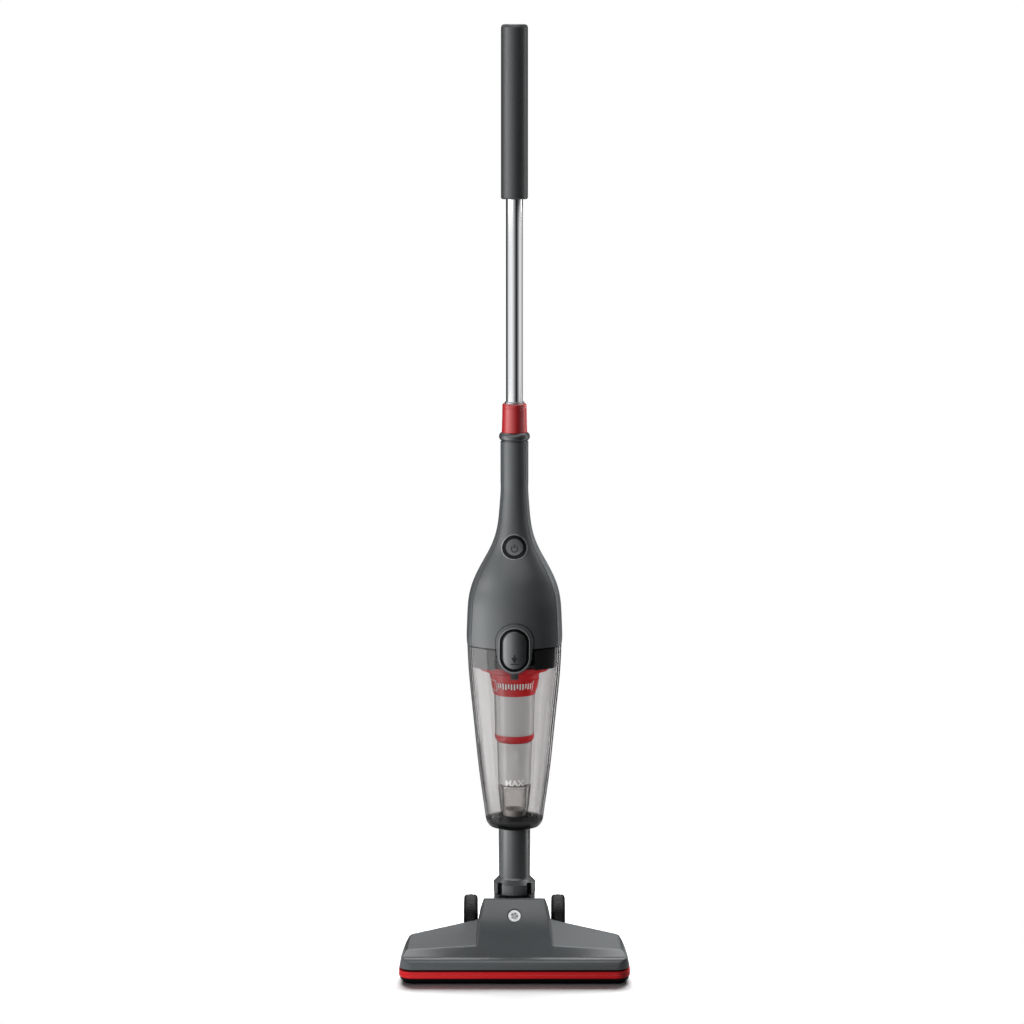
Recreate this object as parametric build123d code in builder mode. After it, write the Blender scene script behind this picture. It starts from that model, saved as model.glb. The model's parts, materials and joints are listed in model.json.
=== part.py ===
"""Upright stick vacuum cleaner: a floor head on two large rear wheels, a tilting and swivelling neck,
a see-through dust bin with its filter, a motor housing that narrows into a hand grip, and a
plug-in chrome pole with a foam grip.

Millimetres. +Z is up, -Y is the front. The origin lies on the floor, midway between the front lip
of the head and the back of the wheels, straight below the axis of the upright tube.
"""

from build123d import *

import os
from math import cos, pi, radians, sin

os.makedirs("parts", exist_ok=True)

# ---------------------------------------------------------------- driving dimensions
HEIGHT = 1100.0             # floor to the top of the grip
RUN_FIT = 0.1               # radial play of pins and shafts
CLEAR = 0.4                 # gap between larger faces that pass each other
SKIN = 2.6                  # wall of the moulded covers
BIN_WALL = 2.2              # wall of the dust bin

# floor head, from the floor up
HEAD_HALF = 134.0           # half width, over the bumper
HEAD_FRONT = -92.0          # front of the bumper
BASE_BOTTOM = 1.6
BASE_TOP = 8.0
BUMPER_TOP = 16.4
COVER_BOTTOM = 18.6
LIP_TOP = 31.5              # top of the rounded front lip
LEDGE_Y = -83.0             # where the slope starts behind the lip
CREASE_Y = -71.0            # fold line across each wing
CREASE_Z = 42.0             # its height beside the hump
HUMP_TOP = 88.2
SLOT_HALF = 27.5            # half width of the slot that the neck swings in
CHEEK = 3.5                 # wall on each side of the slot
ARM_HALF = 41.2             # outer face of the arms that hold the wheels
MOUTH_Y = -68.0

# neck
PIVOT_Z = 54.0
DRUM_R = 25.0
TRUNNION_R = 8.0
SPIGOT_R = 20.6             # elbow spigot that the neck tube turns on
FLANGE_TOP = 88.0
SPIGOT_TOP = 103.0
NECK_R = 18.4
COLLAR_R = 24.7
COLLAR_BOTTOM = 88.4
FLARE_TOP = 106.5
NECK_TOP = 166.4
PLUG_R = 13.4
PLUG_TOP = 188.0

# wheels
WHEEL_R = 34.0
WHEEL_Y = 58.0
WHEEL_X = 52.2
WHEEL_W = 16.4
AXLE_R = 2.5

# dust bin and filter
BIN_BOTTOM = 168.0
SEAM_Z = 386.8              # where the bin meets the motor housing
SEAM_GAP = 1.0
DUCT_TOP = 217.0
SPIGOT_FOOT = 361.0         # underside of the housing's spigot, inside the bin's mouth
FLANGE_Z = 355.0            # underside of the red filter flange
TUB_BOTTOM = 325.0
RING_TOP = 278.5
RING_BOTTOM = 269.5
CONE_BOTTOM = 219.8

# housing and pole
NECK_END = 622.8            # top of the hand grip's two covers
BEAD_TOP = 633.0
COLLAR_TOP = 667.0
GRIP_BOTTOM = 902.0
GRIP_R = 15.5
TUBE_R = 9.75
SOCKET_R = 12.0
POWER_Z = 502.5
POWER_TILT = 22.0           # the power button faces this far up
RELEASE_Z = 386.3

# Height and half width of the housing, from the hand grip down to the seam.
NECK_HALF = 16.2
BODY_HALF = 55.4
HOUSING = [
    (575.0, NECK_HALF), (560.0, 16.4), (540.0, 18.0), (521.0, 20.7), (503.0, 26.6), (486.0, 35.6),
    (468.0, 45.2), (451.0, 51.5), (434.0, 54.4), (415.0, BODY_HALF), (SEAM_Z, BODY_HALF),
]
# Height and half width of the dust bin, from its mouth down to its rounded foot.
BIN = [
    (SEAM_Z, 55.2), (351.0, 53.4), (318.0, 50.3), (288.0, 47.3), (258.0, 44.4), (228.0, 41.0),
    (198.0, 36.9), (180.0, 34.4),
]
BIN_FOOT = [(180.0, 34.4), (174.0, 32.9), (170.0, 30.2), (BIN_BOTTOM, 26.5)]


# ---------------------------------------------------------------- shared outlines
def front_depth(half):
    """How far the front stands out at a given half width."""
    return NECK_HALF + 0.864 * (half - NECK_HALF)


def back_depth(half):
    """How far the back stands out at a given half width."""
    return NECK_HALF + 0.83 * (half - NECK_HALF)


def corner(half, grow, round_xy, square_xy):
    """A point of the outline that moves from a circle at the neck to a squarer place on the body."""
    share = min(1.0, max(0.0, (half - NECK_HALF) / (BODY_HALF - NECK_HALF)))
    x = (round_xy[0] + (square_xy[0] - round_xy[0]) * share) * (half + grow)
    y = (round_xy[1] + (square_xy[1] - round_xy[1]) * share) * (front_depth(half) + grow)
    return x, -y


def panel_edge(half, grow=0.0):
    """Where the broad front panel ends and the tight corner starts."""
    return corner(half, grow, (0.819, 0.574), (0.895, 0.59))


def outline(z, half, grow=0.0):
    """Horizontal section of housing or bin: broad front arc, two tight corners, round back."""
    ax, ay = panel_edge(half, grow)
    mx, my = corner(half, grow, (0.875, 0.485), (0.9475, 0.489))
    bx, by = corner(half, grow, (0.927, 0.375), (0.968, 0.375))
    with BuildSketch(Plane.XY.offset(z), mode=Mode.PRIVATE) as section:
        with BuildLine():
            ThreePointArc((-ax, ay), (0, -front_depth(half) - grow), (ax, ay))
            ThreePointArc((ax, ay), (mx, my), (bx, by))
            ThreePointArc((bx, by), (0, back_depth(half) + grow), (-bx, by))
            ThreePointArc((-bx, by), (-mx, my), (-ax, ay))
        make_face()
    return section.sketch


def body_of(stations, grow=0.0, bottom=None, top=None, ruled=False):
    """A solid through the outlines at a list of (height, half width)."""
    places = [(z, half) for z, half in stations]
    if top is not None:
        places[0] = (top, places[0][1])
    if bottom is not None:
        places[-1] = (bottom, places[-1][1])
    return loft(sections=[outline(z, half, grow) for z, half in places], ruled=ruled, mode=Mode.PRIVATE)


def polygon(plane, *points):
    """A closed polygon face on a plane."""
    with BuildSketch(plane, mode=Mode.PRIVATE) as sketch:
        with BuildLine():
            Polyline(*points, close=True)
        make_face()
    return sketch.sketch


def disc(plane, radius, hole=0.0):
    """A round face on a plane, with an optional round hole."""
    with BuildSketch(plane, mode=Mode.PRIVATE) as sketch:
        Circle(radius)
        if hole:
            Circle(hole, mode=Mode.SUBTRACT)
    return sketch.sketch


def half_at(stations, z):
    """Half width at a height, read off a list of stations."""
    for (z1, h1), (z0, h0) in zip(stations, stations[1:]):
        if z0 <= z <= z1:
            return h0 + (h1 - h0) * (z - z0) / (z1 - z0)
    return stations[0][1] if z > stations[0][0] else stations[-1][1]


def save(piece, label):
    """Names a finished piece and writes its STEP file."""
    piece.part.label = label
    export_step(piece.part, f"parts/{label}.step")
    print(f"{label:18s} {piece.part.volume / 1000:9.2f} cm3")


# ================================================================= floor head
def planform(inset=0.0, z=0.0):
    """Outline of the head from above: straight front, raked sides, two arms between the wheels."""
    w = HEAD_HALF - inset
    f = HEAD_FRONT + inset
    with BuildSketch(Plane.XY.offset(z), mode=Mode.PRIVATE) as sketch:
        with BuildLine():
            FilletPolyline(
                (0, f), (w, f), (w, -60), (w - 10.5, -12 - inset), (48 - inset, 12 - inset),
                (ARM_HALF - inset, 17 - inset), (ARM_HALF - inset, 70.8 - inset), (0, 70.8 - inset),
                radius=[16 - inset, 24, 9, 3, 3, 2],
            )
            mirror(about=Plane.YZ)
        make_face()
    return sketch.sketch


def lip(inset=0.0):
    """Side view of the rounded front lip, up to the ledge behind it. Outside, a fine groove parts the two."""
    f = HEAD_FRONT + 0.8 + inset
    low = COVER_BOTTOM - (4 if inset else 0)
    groove = [] if inset else [(LEDGE_Y - 1.4, LIP_TOP), (LEDGE_Y - 0.9, LIP_TOP - 0.8), (LEDGE_Y - 0.2, LIP_TOP - 0.8)]
    return [
        (f, low), (f, LIP_TOP - 7.4), (f + 0.7, LIP_TOP - 4.2 - inset * 0.6), (f + 2.2, LIP_TOP - 1.8 - inset),
        (f + 4.4, LIP_TOP - 0.4 - inset), (f + 6, LIP_TOP - inset), *groove, (LEDGE_Y + inset, LIP_TOP - inset),
    ]


def wing_profile(x, inset=0.0):
    """Side view of a wing at distance x from the middle."""
    low = COVER_BOTTOM - (4 if inset else 0)
    crease_z = CREASE_Z - 0.047 * (x - 40) - inset
    rear_y, rear_z = 14 - 0.303 * (x - 40) - inset, 51.0 - 0.14 * (x - 40) - inset
    return polygon(
        Plane.YZ.offset(x), *lip(inset), (CREASE_Y + inset / 2, crease_z), (rear_y, rear_z), (rear_y + 2, low),
    )


def end_view(inset=0.0):
    """Front view of the right-hand half: drafted hump, wing and rounded, raked end."""
    w = HEAD_HALF - 0.8 - inset
    low = COVER_BOTTOM - (4 if inset else 0)
    with BuildSketch(Plane.XZ.offset(100), mode=Mode.PRIVATE) as sketch:
        with BuildLine():
            Polyline((0, low), (w, low), (w, 19.5))
            Spline((w, 19.5), (w - 3.0, 30), (w - 10.5, 39 - inset), tangents=[(-0.1, 1), (-1, 0.5)])
            Polyline((w - 10.5, 39 - inset), (w - 40, 50), (0, 60), (0, low))
        make_face()
    return sketch.sketch


def hump_view(inset=0.0):
    """Front view of the hump: drafted sides, rounded shoulders."""
    low = COVER_BOTTOM - (4 if inset else 0)
    base, top = 44.6 - inset, 35.2 - inset
    height = HUMP_TOP - inset
    with BuildSketch(Plane.XZ.offset(100), mode=Mode.PRIVATE) as sketch:
        with BuildLine():
            FilletPolyline(
                (0, low), (base + 2, low), (base + 2, 30), (base, 42), (top, height), (0, height),
                radius=[0.5, 6, 20, 2.6],
            )
            mirror(about=Plane.YZ)
        make_face()
    return sketch.sketch


def hump_profile(inset=0.0):
    """Side view of the hump: lip, ramp up to the neck, cheeks falling to the wheel arms."""
    low = COVER_BOTTOM - (4 if inset else 0)
    fold = (CREASE_Y + inset / 2, CREASE_Z - inset)
    crest = (-33.6 + inset, HUMP_TOP - 3.4 - inset)
    with BuildSketch(Plane.YZ.offset(-60), mode=Mode.PRIVATE) as sketch:
        with BuildLine():
            Polyline(*lip(inset), fold)
            Spline(fold, (-58.5 + inset, 53.0 - inset), crest, tangents=[(1, 0.86), (1, 1.5)])
            FilletPolyline(
                crest, (-31.4 + inset, HUMP_TOP - inset), (-19, HUMP_TOP - 3.5 - inset), (40, 51 - inset),
                (70 - inset, 47 - inset), (70 - inset, 22), (58, low), radius=[1.6, 9, 12, 11, 8],
            )
            Line((58, low), lip(inset)[0])
        make_face()
    return sketch.sketch


def wings(inset=0.0):
    """Both wings as one-piece solids, right and left."""
    right = loft(
        sections=[wing_profile(36 if inset else 40, inset), wing_profile(HEAD_HALF + 4, inset)],
        ruled=True, mode=Mode.PRIVATE,
    )
    right = right & extrude(end_view(inset), amount=220, both=True, mode=Mode.PRIVATE)
    right = right & extrude(planform(0.8 + inset), amount=100, mode=Mode.PRIVATE)
    return right, right.mirror(Plane.YZ)


def hump(inset=0.0):
    """The hump with its ramp and arms as one solid."""
    solid = extrude(hump_profile(inset), amount=120, mode=Mode.PRIVATE)
    solid = solid & extrude(hump_view(inset), amount=220, both=True, mode=Mode.PRIVATE)
    return solid & extrude(planform(0.8 + inset), amount=120, mode=Mode.PRIVATE)


drum_plane = Plane(origin=(0, 0, PIVOT_Z), x_dir=(0, 1, 0), z_dir=(1, 0, 0))
badge_plane = Plane(origin=(0, -43.25, 69.9), x_dir=(1, 0, 0), z_dir=(0, -0.789, 0.614))

with BuildPart() as slot_walls:
    with BuildSketch():
        with Locations((0, 25)):
            Rectangle(2 * (SLOT_HALF + CHEEK), 112)
    extrude(amount=120)

with BuildPart() as head_cover:
    add(hump())
    for half in wings():
        add(half)
    add(hump(SKIN) - slot_walls.part, mode=Mode.SUBTRACT)
    for half in wings(SKIN):
        add(half - slot_walls.part, mode=Mode.SUBTRACT)
    # the slot for the neck, open at the top and the rear, and below the ramp for the duct
    with BuildSketch():
        with Locations((0, 35)):
            Rectangle(2 * SLOT_HALF, 125)
    extrude(amount=120, mode=Mode.SUBTRACT)
    with BuildSketch():
        with Locations((0, -20)):
            Rectangle(2 * SLOT_HALF, 24)
    extrude(amount=60, mode=Mode.SUBTRACT)
    # trunnion seats, open axle notches, badge seat
    with BuildSketch(Plane.YZ):
        with Locations((0, PIVOT_Z)):
            Circle(TRUNNION_R + RUN_FIT)
    extrude(amount=SLOT_HALF + CHEEK, both=True, mode=Mode.SUBTRACT)
    with BuildSketch(Plane.YZ):
        with Locations((WHEEL_Y, WHEEL_R)):
            Circle(AXLE_R + 0.3)
        with Locations((WHEEL_Y, WHEEL_R - 15)):
            Rectangle(2 * AXLE_R + 0.6, 30)
    extrude(amount=60, both=True, mode=Mode.SUBTRACT)
    extrude(disc(badge_plane, 7.9), amount=1.2, both=True, mode=Mode.SUBTRACT)


HEAD_SCREWS = [(108.0, -38.0, 38.8), (62.0, -12.0, 45.0)]   # x, y, top of the boss in the cover
PADS = [(112.0, -62.0), (74.0, -16.0)]
PAD_R = 5.5

with BuildPart() as head_base:
    # chamfered underside, then the plate, then the upright lip inside bumper and cover
    loft(sections=[planform(5.6, BASE_BOTTOM), planform(1.4, BASE_BOTTOM + 4.4)], ruled=True)
    extrude(planform(1.4, BASE_BOTTOM + 4.4), amount=BASE_TOP - BASE_BOTTOM - 4.4)
    with BuildSketch(Plane.XY.offset(BASE_TOP)):
        add(planform(3.8))
        add(planform(5.6), mode=Mode.SUBTRACT)
        with Locations((0, 60)):
            Rectangle(2 * (SLOT_HALF + CHEEK) + 0.6, 80, mode=Mode.SUBTRACT)
        with Locations((0, 75)):
            Rectangle(90, 24, mode=Mode.SUBTRACT)
    extrude(amount=13)
    # brackets for the wheel axles
    with BuildSketch(Plane.YZ.offset(31.6)) as bracket:
        with BuildLine():
            Line((50.6, 6), (50.6, WHEEL_R))
            ThreePointArc((50.6, WHEEL_R), (WHEEL_Y, WHEEL_R + 7.4), (65.4, WHEEL_R))
            Polyline((65.4, WHEEL_R), (65.4, 6), (50.6, 6))
        make_face()
        with Locations((WHEEL_Y, WHEEL_R)):
            Circle(AXLE_R, mode=Mode.SUBTRACT)
    extrude(amount=4.0)
    mirror(about=Plane.YZ)
    with BuildSketch(Plane.XY):
        # suction mouth, and the gap between the two arms
        with Locations((0, MOUTH_Y)):
            SlotOverall(190, 12)
        with Locations((0, 62)):
            Rectangle(48, 44)
        with Locations(*[(side * x, y) for x, y, _ in HEAD_SCREWS for side in (-1, 1)]):
            Circle(1.5)
    extrude(amount=BASE_TOP + 2, mode=Mode.SUBTRACT)
    with BuildSketch(Plane.XY):
        with Locations(*[(side * x, y) for x, y, _ in HEAD_SCREWS for side in (-1, 1)]):
            Circle(3.5)
    extrude(amount=5.0, mode=Mode.SUBTRACT)
    with BuildSketch(Plane.XY):
        with Locations(*[(side * x, y) for x, y in PADS for side in (-1, 1)]):
            Circle(PAD_R)
    extrude(amount=BASE_BOTTOM + 0.8, mode=Mode.SUBTRACT)
    # grooves for the bristle strip and the lint strips
    with BuildSketch(Plane.XY):
        with Locations((0, MOUTH_Y - 10)):
            Rectangle(188, 3)
        with Locations((-50, MOUTH_Y + 11), (50, MOUTH_Y + 11)):
            Rectangle(84, 5)
    extrude(amount=BASE_BOTTOM + 1.4, mode=Mode.SUBTRACT)
save(head_base, "head_base")

with BuildPart() as cover_bosses:
    for x, y, top in HEAD_SCREWS:
        with BuildSketch(Plane.XY.offset(BASE_TOP)):
            with Locations((x, y), (-x, y)):
                Circle(3.6)
        extrude(amount=top - BASE_TOP)
    with BuildSketch(Plane.XY.offset(BASE_TOP)):
        with Locations(*[(side * x, y) for x, y, _ in HEAD_SCREWS for side in (-1, 1)]):
            Circle(1.5)
    extrude(amount=14, mode=Mode.SUBTRACT)
with head_cover:
    add(cover_bosses.part)
save(head_cover, "head_cover")

with BuildPart() as head_screws:
    for x, y, _ in HEAD_SCREWS:
        with Locations((x, y, 2.6), (-x, y, 2.6)):
            Cylinder(3.2, 2.4, align=(Align.CENTER, Align.CENTER, Align.MIN))
            Cylinder(1.5, 18, align=(Align.CENTER, Align.CENTER, Align.MIN))
save(head_screws, "head_screws")

BUMPER_STEPS = [(8.2, 1.2), (9.4, 0.0), (12.1, 0.0), (12.8, 0.5), (13.5, 0.0), (16.2, 0.0), (BUMPER_TOP, 1.2)]
with BuildPart() as head_bumper:
    loft(sections=[planform(inset, z) for z, inset in BUMPER_STEPS], ruled=True)
    extrude(planform(3.4), amount=30, mode=Mode.SUBTRACT)
    with BuildSketch():
        with Locations((0, -72)):
            Rectangle(300, 100)
    extrude(amount=30, mode=Mode.INTERSECT)
save(head_bumper, "head_bumper")

with BuildPart() as glide_pads:
    with BuildSketch(Plane.XY):
        with Locations(*[(side * x, y) for x, y in PADS for side in (-1, 1)]):
            Circle(PAD_R)
    extrude(amount=BASE_BOTTOM + 0.8)
    chamfer(glide_pads.edges().group_by(Axis.Z)[0], length=0.6)
save(glide_pads, "glide_pads")

with BuildPart() as bristle_strip:
    with BuildSketch(Plane.XY.offset(0.3)):
        with Locations((0, MOUTH_Y - 10)):
            Rectangle(188, 3)
    extrude(amount=BASE_BOTTOM + 1.1)
save(bristle_strip, "bristle_strip")

with BuildPart() as lint_strips:
    with BuildSketch(Plane.XY.offset(0.6)):
        with Locations((-50, MOUTH_Y + 11), (50, MOUTH_Y + 11)):
            Rectangle(84, 5)
    extrude(amount=BASE_BOTTOM + 0.8)
save(lint_strips, "lint_strips")


def duct_plan(inset, z):
    """Funnel from the wide mouth to the middle of the head."""
    return polygon(
        Plane.XY.offset(z), (-99 + inset, -75.5 + inset), (99 - inset, -75.5 + inset), (99 - inset, -60.5 - inset),
        (26 - inset, -36 - inset), (26 - inset, 16 - inset), (-26 + inset, 16 - inset),
        (-26 + inset, -36 - inset), (-99 + inset, -60.5 - inset),
    )


with BuildPart() as suction_duct:
    extrude(duct_plan(0, BASE_TOP), amount=16)
    # cradle under the drum of the elbow, low at the rear so that the neck can lean back over it
    extrude(
        polygon(Plane.YZ, (-34, BASE_TOP), (-34, 34), (-29, PIVOT_Z), (-24, PIVOT_Z), (0, 32), (16, 32.2),
                (16, BASE_TOP)),
        amount=26, both=True,
    )
    extrude(duct_plan(2, BASE_TOP), amount=14, mode=Mode.SUBTRACT)
    extrude(
        polygon(Plane.YZ, (-32, BASE_TOP), (-32, 24), (-26.5, 42), (-26, 49), (10, 49), (10, 24), (13, 21),
                (13, BASE_TOP)),
        amount=17, both=True, mode=Mode.SUBTRACT,
    )
    extrude(disc(drum_plane, DRUM_R + CLEAR), amount=40, both=True, mode=Mode.SUBTRACT)
save(suction_duct, "suction_duct")

with BuildPart() as head_badge:
    with BuildSketch(badge_plane.offset(-1.15)):
        Circle(7.6)
    extrude(amount=1.5)
    with BuildSketch(badge_plane.offset(-0.4)):
        Circle(6.2)
        Circle(4.9, mode=Mode.SUBTRACT)
    extrude(amount=1, mode=Mode.SUBTRACT)
save(head_badge, "head_badge")

# ================================================================= wheels
hub_axis = Axis((0, WHEEL_Y, WHEEL_R), (1, 0, 0))
spoke_plane = Plane(origin=(0, WHEEL_Y, WHEEL_R), x_dir=(0, 1, 0), z_dir=(1, 0, 0))


def wheel_face(*points):
    """Half section of the right wheel: (distance along the axle from the wheel's middle, radius)."""
    return polygon(Plane.XZ.offset(-WHEEL_Y), *[(WHEEL_X + a, WHEEL_R + r) for a, r in points])


HALF_W = WHEEL_W / 2
with BuildPart() as wheel_hub:
    revolve(
        wheel_face(
            (-7.8, 2.6), (6.2, 2.6), (6.2, 7.0), (1.4, 8.0), (1.4, 23.5), (7.4, 24.5), (7.4, 29.4), (-7.6, 29.4),
            (-7.6, 24.5), (-1.4, 23.5), (-1.4, 8.0), (-7.8, 7.0),
        ),
        axis=hub_axis, revolution_arc=360,
    )
    with BuildSketch(spoke_plane.offset(WHEEL_X - 3)):
        with PolarLocations(16.0, 6):
            SlotOverall(11, 6.4, rotation=90)
    extrude(amount=6, mode=Mode.SUBTRACT)
with BuildPart() as wheel_tyre:
    with BuildSketch(Plane.XZ.offset(-WHEEL_Y)):
        with BuildLine():
            Polyline((WHEEL_X - HALF_W, WHEEL_R + 29.4), (WHEEL_X + HALF_W, WHEEL_R + 29.4), (WHEEL_X + HALF_W, WHEEL_R + 30.6))
            ThreePointArc(
                (WHEEL_X + HALF_W, WHEEL_R + 30.6), (WHEEL_X + HALF_W - 1.5, WHEEL_R + 32.8),
                (WHEEL_X + HALF_W - 4.8, WHEEL_R + WHEEL_R),
            )
            Line((WHEEL_X + HALF_W - 4.8, 2 * WHEEL_R), (WHEEL_X - HALF_W + 4.8, 2 * WHEEL_R))
            ThreePointArc(
                (WHEEL_X - HALF_W + 4.8, 2 * WHEEL_R), (WHEEL_X - HALF_W + 1.5, WHEEL_R + 32.8),
                (WHEEL_X - HALF_W, WHEEL_R + 30.6),
            )
            Line((WHEEL_X - HALF_W, WHEEL_R + 30.6), (WHEEL_X - HALF_W, WHEEL_R + 29.4))
        make_face()
        with Locations((WHEEL_X - 3.0, 2 * WHEEL_R), (WHEEL_X + 3.0, 2 * WHEEL_R)):
            Rectangle(1.2, 1.6, mode=Mode.SUBTRACT)
    revolve(axis=hub_axis, revolution_arc=360)
for side, sign in (("right", 1), ("left", -1)):
    for piece, name in ((wheel_hub, "hub"), (wheel_tyre, "tyre")):
        with BuildPart() as wheel_piece:
            add(piece.part if sign == 1 else piece.part.mirror(Plane.YZ))
        save(wheel_piece, f"{side}_wheel_{name}")

with BuildPart() as wheel_axles:
    with BuildSketch(spoke_plane.offset(31.6)):
        Circle(AXLE_R)
    extrude(amount=28.4)
    with BuildSketch(spoke_plane.offset(58.7)):
        Circle(4.6)
    extrude(amount=1.5)
    mirror(about=Plane.YZ)
save(wheel_axles, "wheel_axles")

# ================================================================= neck
with BuildPart() as pivot_elbow:
    extrude(disc(drum_plane, DRUM_R), amount=25, both=True)
    extrude(disc(drum_plane, TRUNNION_R), amount=30.6, both=True)
    with BuildSketch(Plane.XZ):
        with BuildLine():
            Polyline(
                (0, PIVOT_Z), (22.6, PIVOT_Z), (22.6, 79), (24.2, 81), (24.2, FLANGE_TOP), (SPIGOT_R, FLANGE_TOP),
                (SPIGOT_R, SPIGOT_TOP - 1), (SPIGOT_R - 1, SPIGOT_TOP), (0, SPIGOT_TOP), close=True,
            )
        make_face()
    revolve(axis=Axis.Z, revolution_arc=360)
    # passage for the air: up the spigot, through the drum, out of the window below
    extrude(disc(Plane.XY.offset(PIVOT_Z), 16.4), amount=60, mode=Mode.SUBTRACT)
    extrude(disc(drum_plane, 21.6), amount=18, both=True, mode=Mode.SUBTRACT)
    extrude(
        polygon(Plane.YZ, (0, PIVOT_Z), (-6.9, PIVOT_Z - 26), (2, PIVOT_Z - 31), (9.6, PIVOT_Z - 25.5)),
        amount=16, both=True, mode=Mode.SUBTRACT,
    )
    with BuildSketch(Plane.XZ):
        with Locations((20.2, 97.5)):
            Circle(0.8)
    revolve(axis=Axis.Z, revolution_arc=360, mode=Mode.SUBTRACT)
save(pivot_elbow, "pivot_elbow")

with BuildPart() as neck_o_ring:
    with BuildSketch(Plane.XZ):
        with Locations((20.2, 97.5)):
            Circle(0.75)
    revolve(axis=Axis.Z, revolution_arc=360)
save(neck_o_ring, "neck_o_ring")

with BuildPart() as neck_tube:
    with BuildSketch(Plane.XZ):
        with BuildLine():
            Polyline(
                (21.1, COLLAR_BOTTOM), (COLLAR_R - 0.5, COLLAR_BOTTOM), (COLLAR_R, COLLAR_BOTTOM + 0.6),
                (COLLAR_R, 100.6), (NECK_R + 1.0, FLARE_TOP - 0.6), (NECK_R, FLARE_TOP + 1.2),
                (NECK_R, NECK_TOP - 0.8), (NECK_R - 0.8, NECK_TOP), (PLUG_R, NECK_TOP), (PLUG_R, PLUG_TOP - 1),
                (PLUG_R - 0.8, PLUG_TOP), (PLUG_R - 1.9, PLUG_TOP), (PLUG_R - 1.9, NECK_TOP - 4),
                (NECK_R - 2.2, NECK_TOP - 8), (NECK_R - 2.2, SPIGOT_TOP + 1.4), (21.1, SPIGOT_TOP + 0.4), close=True,
            )
        make_face()
    revolve(axis=Axis.Z, revolution_arc=360)
    # four open slots between the fingers, and a fine groove down the middle of each finger
    with BuildSketch(Plane.XY.offset(COLLAR_BOTTOM - 1)):
        with PolarLocations(COLLAR_R, 4, start_angle=45):
            Rectangle(9, 7.6)
    extrude(amount=15.1, mode=Mode.SUBTRACT)
    with BuildSketch(Plane.XY.offset(COLLAR_BOTTOM - 1)):
        with PolarLocations(COLLAR_R, 4, start_angle=0):
            Rectangle(1.6, 1.0)
    extrude(amount=13.2, mode=Mode.SUBTRACT)
save(neck_tube, "neck_tube")

# ================================================================= dust bin
def surround_outline(grow=0.0):
    """Outline of the raised surround of the release button: broad top, slightly narrower foot."""
    with BuildSketch(Plane.XZ.offset(60), mode=Mode.PRIVATE) as sketch:
        with BuildLine():
            ThreePointArc((-21.9 - grow, 395.2), (0, 417.1 + grow), (21.9 + grow, 395.2))
            Line((21.9 + grow, 395.2), (20.0 + grow, 378.6))
            ThreePointArc((20.0 + grow, 378.6), (0, 358.6 - grow), (-20.0 - grow, 378.6))
            Line((-20.0 - grow, 378.6), (-21.9 - grow, 395.2))
        make_face()
    return sketch.sketch


def button_outline(width, height):
    """Upright stadium around the middle of the release button."""
    with BuildSketch(Plane.XZ.offset(60), mode=Mode.PRIVATE) as sketch:
        with Locations((0, RELEASE_Z)):
            SlotOverall(height, width, rotation=90)
    return sketch.sketch


def front_slab(grow, back_y, bottom=340.0, top=430.0):
    """Upright slab whose front follows the arc of the body, used to give buttons their domed face."""
    front = -front_depth(BODY_HALF) - grow
    with BuildSketch(Plane.XY.offset(bottom), mode=Mode.PRIVATE) as sketch:
        with BuildLine():
            ThreePointArc((-30, front + 6.8), (0, front), (30, front + 6.8))
            Polyline((30, front + 6.8), (30, back_y), (-30, back_y), (-30, front + 6.8))
        make_face()
    return extrude(sketch.sketch, amount=top - bottom, mode=Mode.PRIVATE)


bin_outer = body_of(BIN, bottom=BIN_FOOT[0][0], top=SEAM_Z - SEAM_GAP / 2)
foot_outer = loft(sections=[outline(z, half) for z, half in BIN_FOOT], mode=Mode.PRIVATE)
bin_inner = body_of(BIN, -BIN_WALL, top=SEAM_Z + 1)
foot_inner = loft(sections=[outline(z, half, -BIN_WALL) for z, half in BIN_FOOT], mode=Mode.PRIVATE)
BASE_SEAM = 171.2                           # where the clear wall meets the black base

with BuildPart() as bin_shell:
    add(bin_outer)
    add(foot_outer)
    add(bin_inner, mode=Mode.SUBTRACT)
    add(foot_inner, mode=Mode.SUBTRACT)
    with BuildSketch(Plane.XY.offset(BIN_BOTTOM - 1)):
        Circle(60)
    extrude(amount=BASE_SEAM - BIN_BOTTOM + 1, mode=Mode.SUBTRACT)
    # notch in the mouth for the button surround
    extrude(surround_outline(CLEAR), amount=-30, mode=Mode.SUBTRACT)
    # ledge inside the wall that the latch hooks under
    with BuildSketch(Plane.XY.offset(353.2)):
        with Locations((0, -45.2)):
            Rectangle(12, 3.6)
    extrude(amount=2.4)
save(bin_shell, "bin_shell")

with BuildPart() as bin_base:
    add(foot_outer)
    with BuildSketch(Plane.XY.offset(BASE_SEAM)):
        Circle(60)
    extrude(amount=30, mode=Mode.SUBTRACT)
    # rim that plugs into the clear wall, and the boss that carries the duct
    extrude(outline(BASE_SEAM - 0.5, 30.4, -BIN_WALL - 0.25), amount=3.4)
    with BuildSketch(Plane.XZ):
        with BuildLine():
            Polyline((0, BASE_SEAM), (25.5, BASE_SEAM), (24.5, 174.6), (17.0, 179.2), (17.0, 180.0), (0, 180.0), close=True)
        make_face()
    revolve(axis=Axis.Z, revolution_arc=360)
    with BuildSketch(Plane.XY.offset(BIN_BOTTOM - 1)):
        Circle(PLUG_R + RUN_FIT)
    extrude(amount=20, mode=Mode.SUBTRACT)
save(bin_base, "bin_base")

with BuildPart() as inlet_duct:
    with BuildSketch(Plane.XZ):
        with BuildLine():
            Polyline(
                (13.9, 180.0), (15.7, 180.0), (19.2, DUCT_TOP - 0.6), (18.6, DUCT_TOP), (16.3, DUCT_TOP),
                (16.2, 215.0), (14.6, 215.0), (13.9, 190.0), close=True,
            )
        make_face()
    revolve(axis=Axis.Z, revolution_arc=360)
save(inlet_duct, "inlet_duct")

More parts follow.
